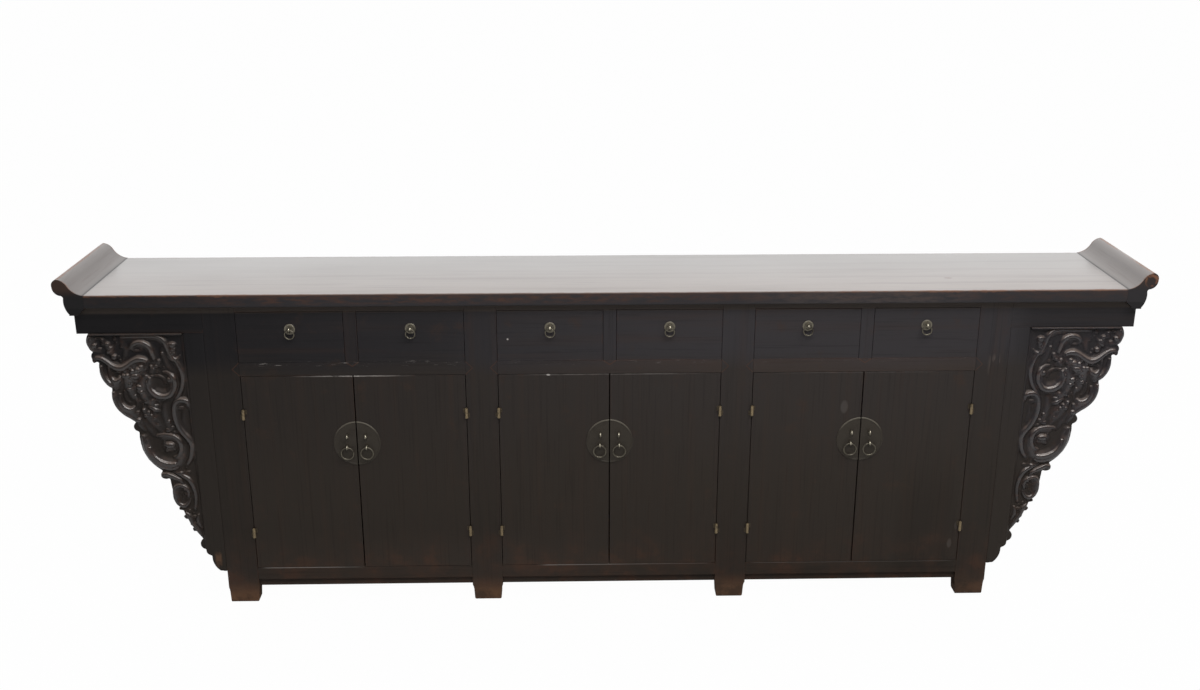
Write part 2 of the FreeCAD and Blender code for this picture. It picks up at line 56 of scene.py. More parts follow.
# Slots of the record, passed with the new pieces
LACQUER_SLOT = "dark_lacquered_wood"
BRASS_SLOT = "aged_brass"

BLACK = (0, 0, 0, 1)
WHITE = (1, 1, 1, 1)
HAIR = 0.001  # what lies within this of a face counts as on it
FINE_ARRIS = 0.0005

# Places along the body, in metres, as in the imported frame
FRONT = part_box("front_legs")[0][1]
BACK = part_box("back_legs")[1][1]
LEG_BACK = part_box("front_legs")[1][1]
LEG_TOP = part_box("front_legs")[1][2]
OUTER_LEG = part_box("front_legs")[1][0]
LEG_WIDTH = 0.084
LEG_MIDDLES = (-1.011, -0.337, 0.337, 1.011)
BAY_MIDDLES = (-0.674, 0.0, 0.674)
BAY_HALF = 0.295
DIVIDER_HALF = 0.017
TOP_RAIL = (0.848, 0.866)
MIDDLE_RAIL = (0.672, 0.709)
BOTTOM_RAIL = (0.073, 0.109)
APRON = (0.051, 0.073)
APRON_BACK_FROM_FACE = 0.008
APRON_THICKNESS = 0.016
BACK_RAIL_BACK = 0.145
FOOT_TOP = 0.049
FOOT_ROWS = ((0.042, 0.0022), (0.034, 0.0034), (0.006, 0.0050), (0.002, 0.0062), (0.0, 0.0090))
END_FOOT_SHIFT = 0.3  # share of each inset by which an end leg's foot keeps to the outside
LAST_DOOR = 0.87  # middle of the rightmost door, along x
DOOR_TOP = 0.6700
LEAF_BACK = FRONT + 0.018
BATTEN_FEET = (0.199, 0.537)
BATTEN_HEIGHT = 0.045
BATTEN_SHORT = 0.030

# The top board, the everted end flanges and what hangs under the overhang
TOP_LOW, TOP_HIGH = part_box("top_board")
FLANGE_REACH = 0.076
FLANGE_RISE = 0.043
FLANGE_DROP = 0.053
FRIEZE_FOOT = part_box("frieze_boards")[0][2]
FRIEZE_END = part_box("frieze_boards")[1][0]
FRIEZE_THICKNESS = 0.020
SPANDREL_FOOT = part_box("spandrel_left")[0][2]
SPANDREL_BACK = -0.147
SPANDREL_FACE = -0.165
CARVING_FACE = -0.177
SPANDREL_WIDTH = 0.306

# Brass: round plates, the eyes that the rings and the bar lock pass through, and the hinges
PLATE_HEIGHT = 0.479
PLATE_RADIUS = 0.063
PLATE_THICKNESS = 0.0020
SEAM_HALF = 0.0015
STAPLE_OUT = 0.0245
STAPLE_HEIGHT = 0.500
STAPLE_WIDTH = 0.0052
DOOR_EYE_OUT = 0.026
DOOR_EYE_WIDTH = 0.0048
EYE_DEPTH = -0.174
EYE_HOLE = 0.0026
EYE_WIRE = 0.0024
SHANK_RADIUS = 0.0022
SHANK_LENGTH = 0.0045
SHANK_MIDDLE = FRONT - 0.0022
PULL_HEIGHT = 0.8005
PULL_RADIUS = 0.0146
PULL_EYE_WIDTH = 0.006
HINGE_HEIGHTS = (0.217, 0.564)
HINGE_AXIS_DEPTH = -0.1694
HINGE_AXIS_OUT = 0.00075
HINGE_HALF = 0.0135
HINGE_PLAY = 0.0002
HINGE_LEAF = (0.001, 0.009)
HINGE_LEAF_THICKNESS = 0.0012
KNUCKLE_RADIUS = 0.004
PIN_RADIUS = 0.0019
PIN_LENGTH = 0.029
PIN_RAISED = 0.0008
RIVET_OUT = 0.0068
RIVET_RADIUS = 0.0011
RIVET_SHARES = (0.28, 0.72)

# Brass: (colour of the rubbed parts, metallic, roughness, gloss, darkness of the specks)
BRASSES = {
    "plate": ("brass", 0.1, 0.42, 0.22, 0.2),
    "fitting": ("brass", 0.4, 0.3, 0.5, 0.4),
    "ring": ("brass", 0.8, 0.24, 0.5, 0.4),
    "eye": ("rubbed", 1.0, 0.34, 0.5, 0.4),
    "hinge": ("hinge", 0.7, 0.38, 0.5, 0.4),
}

# End flange seen from the front: (share of reach, share of rise or drop) of each arc's middle and end
FLANGE_ARCS = (
    ((0.30, 0.20), (0.50, 0.60)),
    ((0.66, 0.90), (0.83, 1.00)),
    ((0.97, 0.84), (1.00, 0.55)),
    ((0.92, 0.16), (0.76, 0.00)),
    ((0.69, -0.04), (0.665, -0.12)),
    ((0.65, -0.60), (0.53, -0.94)),
)
FLANGE_CORNERS = ((0.53, -1.0), (0.26, -1.0), (0.0, -0.642))

# Spandrel's outer edge from the frieze down: (share out of the width, share down of the height)
SPANDREL_START = (0.969, 0.0)
SPANDREL_ARCS = (
    ((1.000, 0.035), (0.950, 0.075)),
    ((0.962, 0.108), (0.910, 0.114)),
    ((0.902, 0.163), (0.828, 0.214)),
    ((0.801, 0.291), (0.657, 0.362)),
    ((0.684, 0.388), (0.644, 0.400)),
    ((0.621, 0.482), (0.478, 0.566)),
    ((0.490, 0.594), (0.424, 0.593)),
    ((0.407, 0.659), (0.337, 0.733)),
    ((0.284, 0.792), (0.189, 0.861)),
    ((0.214, 0.895), (0.174, 0.907)),
    ((0.147, 0.926), (0.122, 0.930)),
    ((0.110, 0.968), (0.062, 0.997)),
)

# Carved bands, in millimetres: (out from the leg, down from the frieze, half width) along each one
CARVED_BANDS = (
    # straight bar under the frieze that turns down into the long side ridge
    ((217, 11, 4), (205, 10, 5), (165, 10, 5), (124, 10, 5.5), (111, 15, 6), (103, 25, 6), (99, 38, 5.5),
     (95, 52, 5), (87, 66, 5), (77, 79, 5.5), (69, 98, 6), (65, 120, 6.5), (68, 143, 6.5), (77, 166, 6),
     (92, 187, 5)),
    # cup under the bud
    ((99, 60, 3), (94, 68, 5), (84, 73, 6), (73, 71, 5.5), (66, 62, 3.5)),
    # scroll inside the bar, and its curled end
    ((190, 37, 4), (178, 28, 6), (163, 25, 6.5), (150, 31, 7), (141, 43, 7), (137, 58, 6.5), (134, 73, 5)),
    ((190, 37, 4), (186, 46, 4.5), (175, 50, 5.5), (165, 46, 5), (166, 38, 3.5)),
    # wavy tendril across the middle
    ((288, 80, 4), (291, 74, 5), (284, 68, 5.5), (271, 69, 6), (259, 77, 6.5), (247, 87, 7), (235, 94, 8.5),
     (223, 96, 9), (210, 91, 8), (198, 83, 7), (187, 76, 7.5), (175, 72, 9), (163, 73, 8), (153, 78, 5.5)),
    # first whorl: the band round it, its bright lower crescent and its hook
    ((151, 122, 5), (156, 142, 6.5), (146, 164, 8), (126, 175, 8.5), (106, 173, 8), (93, 159, 7), (87, 141, 6.5),
     (91, 122, 6), (104, 111, 6.5), (118, 109, 5)),
    ((148, 120, 4), (136, 119, 5.5), (123, 122, 6), (114, 131, 5.5), (112, 143, 4.5)),
    # third lobe: rim and inner curl
    ((274, 90, 4), (273, 104, 6), (268, 121, 7), (257, 138, 7), (247, 148, 5.5)),
    ((252, 88, 5), (255, 103, 6), (253, 117, 6.5), (248, 128, 7.5), (240, 133, 8), (231, 129, 7), (228, 118, 5)),
    ((224, 107, 4), (236, 108, 5), (247, 113, 5), (250, 121, 4)),
    # fourth lobe: rim, inner curl and folds
    ((250, 162, 4.5), (248, 182, 6.5), (240, 203, 7), (225, 221, 7), (206, 236, 7), (196, 246, 5)),
    ((234, 168, 5), (236, 186, 6.5), (231, 200, 7.5), (220, 210, 8), (208, 212, 7), (200, 205, 5)),
    ((220, 158, 4.5), (221, 174, 5.5), (217, 188, 5.5), (209, 196, 4.5)),
    ((195, 170, 4.5), (191, 186, 6), (192, 200, 5.5), (198, 212, 4)),
    # small ring and second curl in the middle
    ((152, 190, 4), (144, 185, 5), (135, 188, 5), (132, 196, 4.5), (139, 202, 4.5), (148, 200, 4)),
    ((166, 206, 4), (155, 206, 6), (145, 213, 6.5), (134, 218, 4.5)),
    # arch beside the leg and the long stem that runs down from it
    ((59, 207, 4.5), (60, 194, 6.5), (70, 187, 8), (83, 188, 7.5), (93, 198, 6.5), (97, 215, 6.5), (96, 236, 7),
     (90, 258, 7.5), (80, 278, 8), (67, 297, 8), (60, 315, 7.5), (62, 336, 7), (68, 356, 6.5), (78, 371, 5)),
    # large whorl: rim, crescent and inner spiral
    ((193, 252, 5), (184, 264, 6), (178, 276, 4.5)),
    ((187, 286, 5), (183, 307, 7), (179, 328, 7.5), (168, 350, 8), (152, 367, 8.5), (134, 377, 8.5),
     (116, 380, 8), (100, 375, 5.5)),
    ((172, 320, 4), (168, 338, 5.5), (157, 354, 6.5), (141, 365, 7), (123, 370, 7), (106, 368, 5)),
    ((156, 292, 4), (138, 286, 5.5), (120, 286, 6), (103, 291, 6.5), (92, 303, 7), (88, 319, 7), (91, 335, 6.5),
     (100, 347, 5.5), (112, 352, 4)),
    # leaf on the nub and the ridge under it
    ((149, 403, 6), (138, 399, 6.5), (126, 403, 6.5), (113, 410, 6), (101, 418, 5.5), (94, 428, 4)),
    ((120, 392, 4), (105, 397, 6), (91, 405, 6.5), (80, 413, 6.5), (72, 425, 6.5), (67, 442, 6), (64, 462, 5.5),
     (66, 486, 5), (70, 506, 4)),
    # small whorl
    ((84, 466, 4), (82, 452, 5), (88, 440, 5.5), (98, 434, 6), (109, 434, 6), (118, 443, 5.5), (120, 460, 5.5),
     (117, 476, 6), (108, 489, 7), (96, 492, 7), (86, 484, 5.5), (80, 472, 4)),
    ((114, 503, 4), (102, 504, 5), (90, 503, 4.5)),
    ((108, 453, 3.5), (101, 457, 4.5), (98, 467, 4.5), (102, 476, 3.5)),
    # lowest leaves
    ((97, 514, 4), (88, 524, 5.5), (83, 540, 6), (74, 556, 6), (65, 570, 5), (58, 584, 4)),
    ((62, 520, 3.5), (66, 534, 5.5), (62, 550, 5.5), (57, 562, 4)),
    # outer lobe at the top corner
    ((293, 10, 4.5), (296, 24, 6), (292, 40, 6.5), (284, 50, 5)),
    ((282, 17, 3.5), (271, 15, 5), (260, 20, 4)),
    ((226, 26, 4), (235, 38, 5.5), (247, 49, 6), (256, 58, 4)),
)

# Broad swells that the bands and beads stand on, in the same measures
CARVED_SWELLS = (
    # whorls and lobes: rings whose inner slopes make the hollows
    ((153, 126, 14), (156, 145, 18), (147, 163, 20), (127, 173, 20), (107, 171, 19), (94, 158, 18),
     (88, 140, 16), (94, 120, 14)),
    ((182, 296, 16), (179, 326, 20), (168, 346, 22), (152, 361, 22), (134, 370, 22), (114, 372, 20),
     (98, 364, 18), (89, 346, 16), (87, 322, 16), (93, 304, 15), (108, 294, 14), (134, 292, 13)),
    ((84, 466, 11), (83, 450, 12), (91, 438, 12), (102, 435, 12), (114, 441, 12), (118, 458, 13), (115, 476, 14),
     (105, 487, 14), (94, 488, 13), (86, 478, 11)),
    ((284, 84, 13), (278, 104, 16), (271, 124, 18), (257, 139, 19), (242, 142, 18), (231, 132, 14)),
    ((249, 162, 13), (246, 184, 17), (238, 202, 19), (224, 215, 20), (208, 222, 18), (194, 238, 14),
     (186, 256, 12)),
    ((192, 40, 11), (180, 30, 14), (163, 27, 16), (148, 35, 16), (140, 50, 15), (136, 68, 13)),
    # tendril, side ridge and stem
    ((288, 64, 9), (268, 66, 12), (246, 86, 14), (223, 96, 17), (198, 84, 15), (175, 74, 17), (155, 77, 13)),
    ((212, 12, 9), (165, 12, 11), (122, 14, 12), (103, 26, 13), (96, 50, 12), (78, 80, 12), (68, 100, 13),
     (66, 125, 13), (70, 150, 13), (84, 176, 12)),
    ((61, 202, 10), (64, 190, 13), (76, 188, 14), (90, 196, 13), (97, 216, 13), (96, 240, 14), (88, 262, 15),
     (77, 282, 15), (65, 300, 14), (62, 325, 13), (68, 352, 12), (78, 372, 10)),
    # middle, with its beads
    ((160, 92, 12), (182, 104, 20), (204, 124, 22), (206, 150, 18), (198, 176, 14)),
    ((164, 118, 12), (174, 140, 18), (176, 158, 18), (166, 180, 16), (152, 196, 16), (146, 212, 14)),
    ((128, 84, 10), (138, 92, 13), (144, 106, 12)),
    # long folds above the large whorl
    ((176, 212, 12), (164, 236, 14), (150, 256, 13), (136, 274, 10)),
    ((150, 222, 10), (142, 244, 12), (132, 262, 10)),
    ((120, 196, 10), (122, 222, 13), (118, 248, 13), (112, 270, 11)),
    ((178, 246, 10), (166, 266, 12), (158, 284, 9)),
    ((72, 220, 8), (76, 244, 10), (70, 266, 8)),
    # leaf on the nub, ridge under it and the lowest leaves
    ((148, 404, 11), (128, 403, 12), (108, 413, 12), (96, 426, 9)),
    ((110, 388, 10), (92, 398, 13), (80, 412, 13), (71, 430, 12), (66, 452, 11), (66, 480, 10), (70, 504, 9)),
    ((98, 512, 8), (88, 526, 11), (82, 544, 12), (72, 560, 11), (62, 576, 9)),
    ((62, 522, 7), (65, 540, 10), (60, 558, 8)),
    # corner lobe, drops and bud
    ((288, 12, 12), (292, 28, 15), (286, 44, 14), (272, 50, 10)),
    ((262, 18, 9), (250, 34, 12), (244, 50, 12), (238, 64, 11)),
    ((214, 24, 8), (204, 44, 11), (208, 62, 10)),
    ((84, 32, 10), (84, 46, 11), (84, 60, 11), (82, 70, 9)),
    ((112, 44, 8), (108, 66, 11), (100, 90, 11), (92, 104, 8)),
    ((110, 316, 14), (120, 322, 17), (130, 316, 13)),
)

# Carved beads, in millimetres: (out, down, half width, half height)
CARVED_BEADS = (
    (84, 33, 11, 6.5), (84, 45, 8, 5), (84, 55, 6, 4), (96, 528, 6, 5), (74, 528, 6, 6), (80, 548, 6, 5),
    (230, 16, 6, 8), (283, 34, 7, 6), (236, 65, 8, 7), (124, 78, 6, 8), (139, 80, 8, 5), (131, 92, 5, 5.5),
    (132, 107, 5.5, 6.5), (101, 130, 7, 7), (177, 101, 7, 6), (186, 118, 10, 7), (212, 105, 6, 5.5),
    (218, 118, 6, 6), (203, 141, 6, 6), (206, 155, 7, 5.5), (180, 149, 8, 7), (176, 163, 6, 6), (158, 138, 6, 6),
    (200, 126, 5, 5), (78, 210, 9, 6), (192, 222, 5, 5), (192, 242, 7, 6), (172, 230, 6, 5), (114, 247, 5, 4.5),
    (120, 272, 8, 6.5), (105, 265, 6, 5), (104, 280, 7, 5.5), (118, 315, 12, 8.5), (94, 384, 6, 5.5),
    (83, 381, 5, 5), (97, 396, 5, 4), (76, 396, 6, 5.5), (105, 446, 4, 4), (86, 510, 6, 5.5), (165, 110, 5, 5),
    (194, 104, 5, 5), (160, 120, 4.5, 4.5), (168, 190, 6, 5.5), (176, 200, 5, 5), (222, 76, 6, 5),
    (112, 96, 5, 6), (150, 238, 5, 5), (240, 152, 5, 4), (189, 92, 5, 4.5), (199, 95, 4.5, 4.5),
    (171, 93, 5, 4.5), (160, 99, 4.5, 4.5), (193, 118, 5, 5), (207, 116, 4.5, 4.5), (198, 135, 5, 5),
    (189, 132, 4.5, 5), (183, 160, 5, 4.5), (192, 152, 4.5, 4.5), (144, 92, 4.5, 5), (139, 99, 4.5, 4),
    (122, 90, 4.5, 4.5), (118, 99, 4, 4), (214, 70, 5.5, 5), (225, 66, 4.5, 4), (250, 30, 6, 5), (245, 40, 5, 4),
    (264, 30, 5, 5), (215, 38, 5, 6), (270, 44, 5, 4), (112, 56, 4.5, 5), (184, 190, 5, 4.5), (176, 214, 5, 4.5),
    (164, 222, 5, 5), (158, 231, 4.5, 4.5), (142, 256, 5, 4.5), (126, 280, 5, 4.5), (96, 277, 5, 5),
    (132, 306, 5, 5), (106, 326, 5, 5), (128, 330, 5, 4.5), (92, 443, 4, 4), (99, 470, 4.5, 4), (92, 458, 4, 4),
    (76, 516, 4.5, 5), (67, 544, 4.5, 5), (78, 566, 4.5, 4.5),
)

# A bead along its longer side: share of the half length, share of the half width
BEAD_SHAPE = ((-0.95, 0.25), (-0.6, 0.78), (0.0, 1.0), (0.6, 0.78), (0.95, 0.25))

# Flat ledge left standing under the frieze: out from, out to, down to, in millimetres
CARVED_LEDGE = (55, 295, 3.5)
CARVED_FILLET = ((58, 8, 3.0), (56, 120, 3.0), (55, 300, 3.0), (54, 460, 3.0), (53, 604, 2.6))

# Small pale marks on the drawers (0) and doors (2): (x, z, half width, half height, share)
PALE_MARKS = {
    0: ((-0.2666, 0.7690, 0.0034, 0.0034, 0.7),),
    2: (
        (0.6270, 0.5720, 0.011, 0.022, 0.05), (0.9440, 0.1630, 0.008, 0.018, 0.05),
        (0.9590, 0.2170, 0.006, 0.016, 0.04), (-0.1615, 0.6695, 0.0060, 0.0024, 0.8),
    ),
}

# The dash on the top: x, y, half width, half depth
TOP_DASH = (0.904, -0.068, 0.014, 0.009)

# How the carving is worked, and how far it reaches
CARVED_MARGIN = 0.052
CARVED_MARGIN_FOOT = 0.629
GROUND_FACE = -0.159
GROUND_GRAIN = 0.002
BAND_SHARE = 1.05
BAND_STEEPNESS = 1.1
BAND_SUNK = 0.42
BAND_ROOT = 0.006
BEAD_SHARE = 1.35
LEDGE_FACE = -0.1705
SWELL_SPREAD = 1.2
SWELL_RISE = 0.42

# The studio; soft boxes: name, place, aim, width, height, radiance; camera: turn, tilt and roll in degrees
PALE_WALL_BEHIND = 1.0
DARK_ROOM_IN_FRONT = 0.12
WHITE_TO_CAMERA = 0.985
SOFTBOXES = (
    ("overhead_panel", (0.8, -1.9, 3.3), (0.2, -0.1, 0.6), 4.2, 1.5, 5.0),
    ("back_panel", (0.0, 3.6, 2.4), (0.0, 0.0, 0.9), 9.0, 2.4, 0.62),
)
CAMERA_PLACE = (-0.1045, -3.4435, 1.8794)
CAMERA_ANGLES = (-1.379, 71.02, 0.04)
CAMERA_LENS = 39.78


def from_screen(red, green, blue):
    """Linear colour of one read as 0 to 255 on a screen."""
    shares = (channel / 255 for channel in (red, green, blue))
    linear = [s / 12.92 if s <= 0.04045 else ((s + 0.055) / 1.055) ** 2.4 for s in shares]
    return (*linear, 1.0)


def colour_property(name, description, screen):
    """A colour to set in the panel, given as read on a screen."""
    return FloatVectorProperty(
        name=name, description=description, subtype="COLOR", size=4, min=0, max=1, default=from_screen(*screen)
    )


def length_property(name, description, default):
    """A length in metres to set in the panel."""
    return FloatProperty(name=name, description=description, default=default, min=0, unit="LENGTH", precision=4)


class CofferSizes(bpy.types.PropertyGroup):
    """Sizes that shape the seen pieces."""

    arris: length_property("Arris", "How far the boards' edges are worn round", 0.0007)
    panel_arris: length_property("Panel arris", "How far the doors' and drawers' edges are eased", 0.0005)
    top_arris: length_property("Top arris", "How far the top board's edges are worn round", 0.0035)
    carving_grain: length_property("Carving fineness", "Smallest step in the carving's surface", 0.0013)
    plate_rim: length_property("Plate rim", "Width of the raised rim round a brass plate", 0.0030)
    plate_dish: length_property("Plate dish", "How far a brass plate's face lies below its rim", 0.0009)
    door_ring: length_property("Door ring", "Radius of a door's drop ring", 0.0165)
    door_wire: length_property("Door ring wire", "Half thickness of a door's drop ring", 0.0016)
    drawer_ring: length_property("Drawer ring", "Radius of a drawer's drop ring", 0.012)
    drawer_wire: length_property("Drawer ring wire", "Half thickness of a drawer's drop ring", 0.0017)


class CofferColours(bpy.types.PropertyGroup):
    """Colours of the finishes."""

    lacquer: colour_property("Lacquer", "Old dark lacquer, worn warm", (53, 46, 40))
    # These two colours paint a sheen across the upper boards and the top's edges, dark at the left and greyer at
    # the right; the carving also uses the first for darker clouds.
    shade: colour_property("Shade", "Darkest lacquer of the upper boards, at the left", (32, 30, 32))
    painted_sheen: colour_property("Bloom", "Greyer lacquer of the upper boards, at the right", (58, 55, 57))
    brown: colour_property("Brown", "Brown wood that shows through thin lacquer", (68, 50, 40))
    # Pale dust on the leg's shoulder and near the floor; also painted highlight on the carving's up-facing slopes
    # and painted light under the top's overhang.
    dust_and_painted_light: colour_property("Dust", "Dust and dried wax on slopes that face up", (128, 114, 106))
    # Pale chips; also painted glints on the doors' top arrises and along the bottom rail's arris.
    chips_and_glints: colour_property("Broken arris", "Pale wood where an arris has chipped", (205, 198, 192))
    worn: colour_property("Worn edge", "Red brown wood on rubbed edges", (92, 60, 44))
    rust: colour_property("Rubbed arris", "Orange brown of the most rubbed arrises", (128, 88, 66))
    foot: colour_property("Foot", "Dusty brown of the feet", (118, 87, 65))
    table: colour_property("Top", "Rubbed lacquer on the top", (84, 74, 69))
    handled: colour_property("Top, front", "Paler lacquer of the top where hands rest", (120, 108, 102))
    polish_and_sheen: colour_property("Polish", "Handled ridges of the carving", (47, 39, 35))
    # Painted sheen: this cooler tone, laid on the carving's upper right, stands in for the cool light on its
    # highlights.
    sheen: colour_property("Sheen", "Cooler polish of the carving on the right", (47, 42, 45))
    bare: colour_property("Bare wood", "Wood inside that was never lacquered", (139, 108, 78))
    bare_dark: colour_property("Bare wood, dark", "Late wood and grime inside", (92, 66, 45))
    brass: colour_property("Brass", "Brass where it is rubbed", (150, 143, 126))
    # Also laid as painted highlight on the eyes' up-facing sides and on the plates' upper rims.
    rubbed: colour_property("Rubbed brass", "Brass of the eyes, bright from handling", (206, 198, 178))
    patina: colour_property("Patina", "Brass that has gone dull", (54, 48, 42))
    hinge: colour_property("Hinge brass", "Warmer brass of the hinges", (156, 138, 108))
    floor: colour_property("Floor", "Pale studio floor", (200, 200, 200))


class Signal:
    """A number on its way through a finish, so that shader maths reads as a sum."""

    def __init__(self, finish, socket):
        self.finish = finish
        self.socket = socket

    def maths(self, operation, *values):
        return self.finish.node("ShaderNodeMath", {"operation": operation}, values)[0]

    def __add__(self, other):
        return self.maths("ADD", self, other)

    def __sub__(self, other):
        return self.maths("SUBTRACT", self, other)

    def __rsub__(self, other):
        return self.maths("SUBTRACT", other, self)

    def __mul__(self, other):
        return self.maths("MULTIPLY", self, other)

    def __abs__(self):
        return self.maths("ABSOLUTE", self)

    def at_least(self, other):
        return self.maths("MAXIMUM", self, other)

    def at_most(self, other):
        return self.maths("MINIMUM", self, other)

    def root(self):
        return self.maths("SQRT", self)

    def rise(self, low, high):
        """0 below low, 1 above high and a soft step between; low may be the larger."""
        values = {"Value": self, "From Min": low, "From Max": high}
        return self.finish.node("ShaderNodeMapRange", {"interpolation_type": "SMOOTHSTEP"}, values)[0]

    __radd__ = __add__
    __rmul__ = __mul__


class Finish:
    """One procedural finish and the nodes that make it."""

    def __init__(self, owner):
        owner.use_nodes = True
        self.tree = owner.node_tree
        self.tree.nodes.clear()

    def node(self, kind, settings=None, values=()):
        """Add a node, set it up, then fill its sockets; values are a row, or named or numbered sockets."""
        node = self.tree.nodes.new(kind)
        for key, setting in (settings or {}).items():
            setattr(node, key, setting)
        for key, value in values.items() if isinstance(values, dict) else enumerate(values):
            if isinstance(value, Signal):
                self.tree.links.new(value.socket, node.inputs[key])
            else:
                node.inputs[key].default_value = value
        return [Signal(self, socket) for socket in node.outputs]

    def place(self):
        return self.node("ShaderNodeTexCoord")[3]

    def parts(self, vector):
        return self.node("ShaderNodeSeparateXYZ", {}, (vector,))

    def facing_up(self):
        """How far the surface faces up: 1 on a level top, 0 on a wall."""
        return self.parts(self.node("ShaderNodeTexCoord")[1])[2]

    def noise(self, place, scale, detail=3.0, roughness=0.55, distortion=0.0, move=(0, 0, 0)):
        """Cloudy noise; scale is one number, or a row for x, y and z."""
        if isinstance(scale, tuple):
            place = self.node("ShaderNodeMapping", {}, {"Vector": place, "Location": move, "Scale": scale})[0]
            scale = 1.0
        values = {
            "Vector": place, "Scale": scale, "Detail": detail, "Roughness": roughness, "Distortion": distortion,
        }
        return self.node("ShaderNodeTexNoise", {}, values)[0]

    def laid(self, tone, *layers):
        """The tone with each (colour, share) laid over it in turn."""
        for colour, share in layers:
            tone = self.node("ShaderNodeMix", {"data_type": "RGBA"}, {0: share, 6: tone, 7: colour})[2]
        return tone

    def spot(self, across, up, middle, half, ragged):
        """1 in the middle of an oval spot, fading to 0 at its edge; ragged is noise, or 0.5 for a clean edge."""
        across = (across - middle[0]) * (1 / half[0])
        up = (up - middle[1]) * (1 / half[1])
        return (across * across + up * up + (ragged - 0.5) * 1.2).rise(1.0, 0.2)

    def edge_distance(self, place):
        """How far a point on a board's face is from the nearest edge of that face, in metres."""
        middle, half = (
            self.node("ShaderNodeAttribute", {"attribute_name": name})[1] for name in ("board_middle", "board_half")
        )
        away = self.node("ShaderNodeVectorMath", {"operation": "SUBTRACT"}, (place, middle))[0]
        away = self.node("ShaderNodeVectorMath", {"operation": "ABSOLUTE"}, (away,))[0]
        x, y, z = self.parts(self.node("ShaderNodeVectorMath", {"operation": "SUBTRACT"}, (half, away))[0])
        return x.at_most(y).at_least(x.at_least(y).at_most(z))

    def surface(self, colour, roughness, height, depth, strength, **sockets):
        """The finished surface; other sockets are set by name with spaces as underscores."""
        values = {key.replace("_", " "): value for key, value in sockets.items()}
        values["Base Color"] = colour
        values["Roughness"] = roughness
        bump = {"Strength": strength, "Distance": depth, "Height": height}
        values["Normal"] = self.node("ShaderNodeBump", {}, bump)[0]
        shader = self.node("ShaderNodeBsdfPrincipled", {}, values)[0]
        self.node("ShaderNodeOutputMaterial", {}, {"Surface": shader})


def finish_once(name, make):
    """The finish of this name, made the first time that it is asked for."""
    material = bpy.data.materials.get(name)
    if material is None:
        material = bpy.data.materials.new(name)
        make(Finish(material), bpy.context.scene.coffer_colours)
    return material


def drawn_out(along, across, lengthwise):
    """Scale of a pattern that is drawn out along x, y or z."""
    return tuple(lengthwise if axis == along else across for axis in range(3))


def from_seam(x):
    """How far a point is from the nearest middle of a bay, along x."""
    return abs(x).at_most(abs(abs(x) - BAY_MIDDLES[2]))


def joint_lines(x, z):
    """1 on the mitred shoulders: rail ends in the legs, and the points of the drawer dividers in the rail."""
    half_rail = (MIDDLE_RAIL[1] - MIDDLE_RAIL[0]) / 2
    out = abs(x)
    from_bay = abs(out - BAY_MIDDLES[2])
    into_leg = LEG_WIDTH / 2 - abs(from_bay - LEG_MIDDLES[2])
    off_rail = abs(z - (MIDDLE_RAIL[0] + half_rail))
    mitre = abs(into_leg + off_rail - half_rail).rise(0.0018, 0.0008)
    mitre = mitre * into_leg.rise(0.0, 0.0005) * out.rise(LEG_MIDDLES[3], LEG_MIDDLES[3] - 0.0005)
    from_divider = out.at_most(from_bay)
    under = MIDDLE_RAIL[1] - z
    point = abs(under * 1.4 + from_divider - DIVIDER_HALF).rise(0.0030, 0.0014)
    return mitre.at_least(point * under.rise(0.0, 0.0005) * from_divider.rise(DIVIDER_HALF, 0.0165))


def body_lacquer(finish, colours, x, z, cloud):
    """Warm lacquer on the lower body; on the upper boards a painted sheen goes from dark at the left to greyer at
    the right.
    """
    height = z + (cloud - 0.5) * 0.1
    upper = height.rise(0.63, 0.74).at_least(height.rise(0.30, 0.66) * 0.35)
    right = (x + (cloud - 0.5) * 0.6).rise(-1.15, 0.4)
    return finish.laid(
        colours.lacquer,
        (finish.laid(colours.shade, (colours.painted_sheen, right)), upper),
        (BLACK, abs(x).rise(1.04, 1.12) * upper * (right * 0.16 + 0.14)),
        (BLACK, abs(x - LAST_DOOR).rise(0.10, 0.05) * z.rise(0.46, 0.26) * 0.18),
        (BLACK, abs(x).rise(0.966, 0.972) * (x.rise(1, -1) * 0.08 + 0.06)),
    )


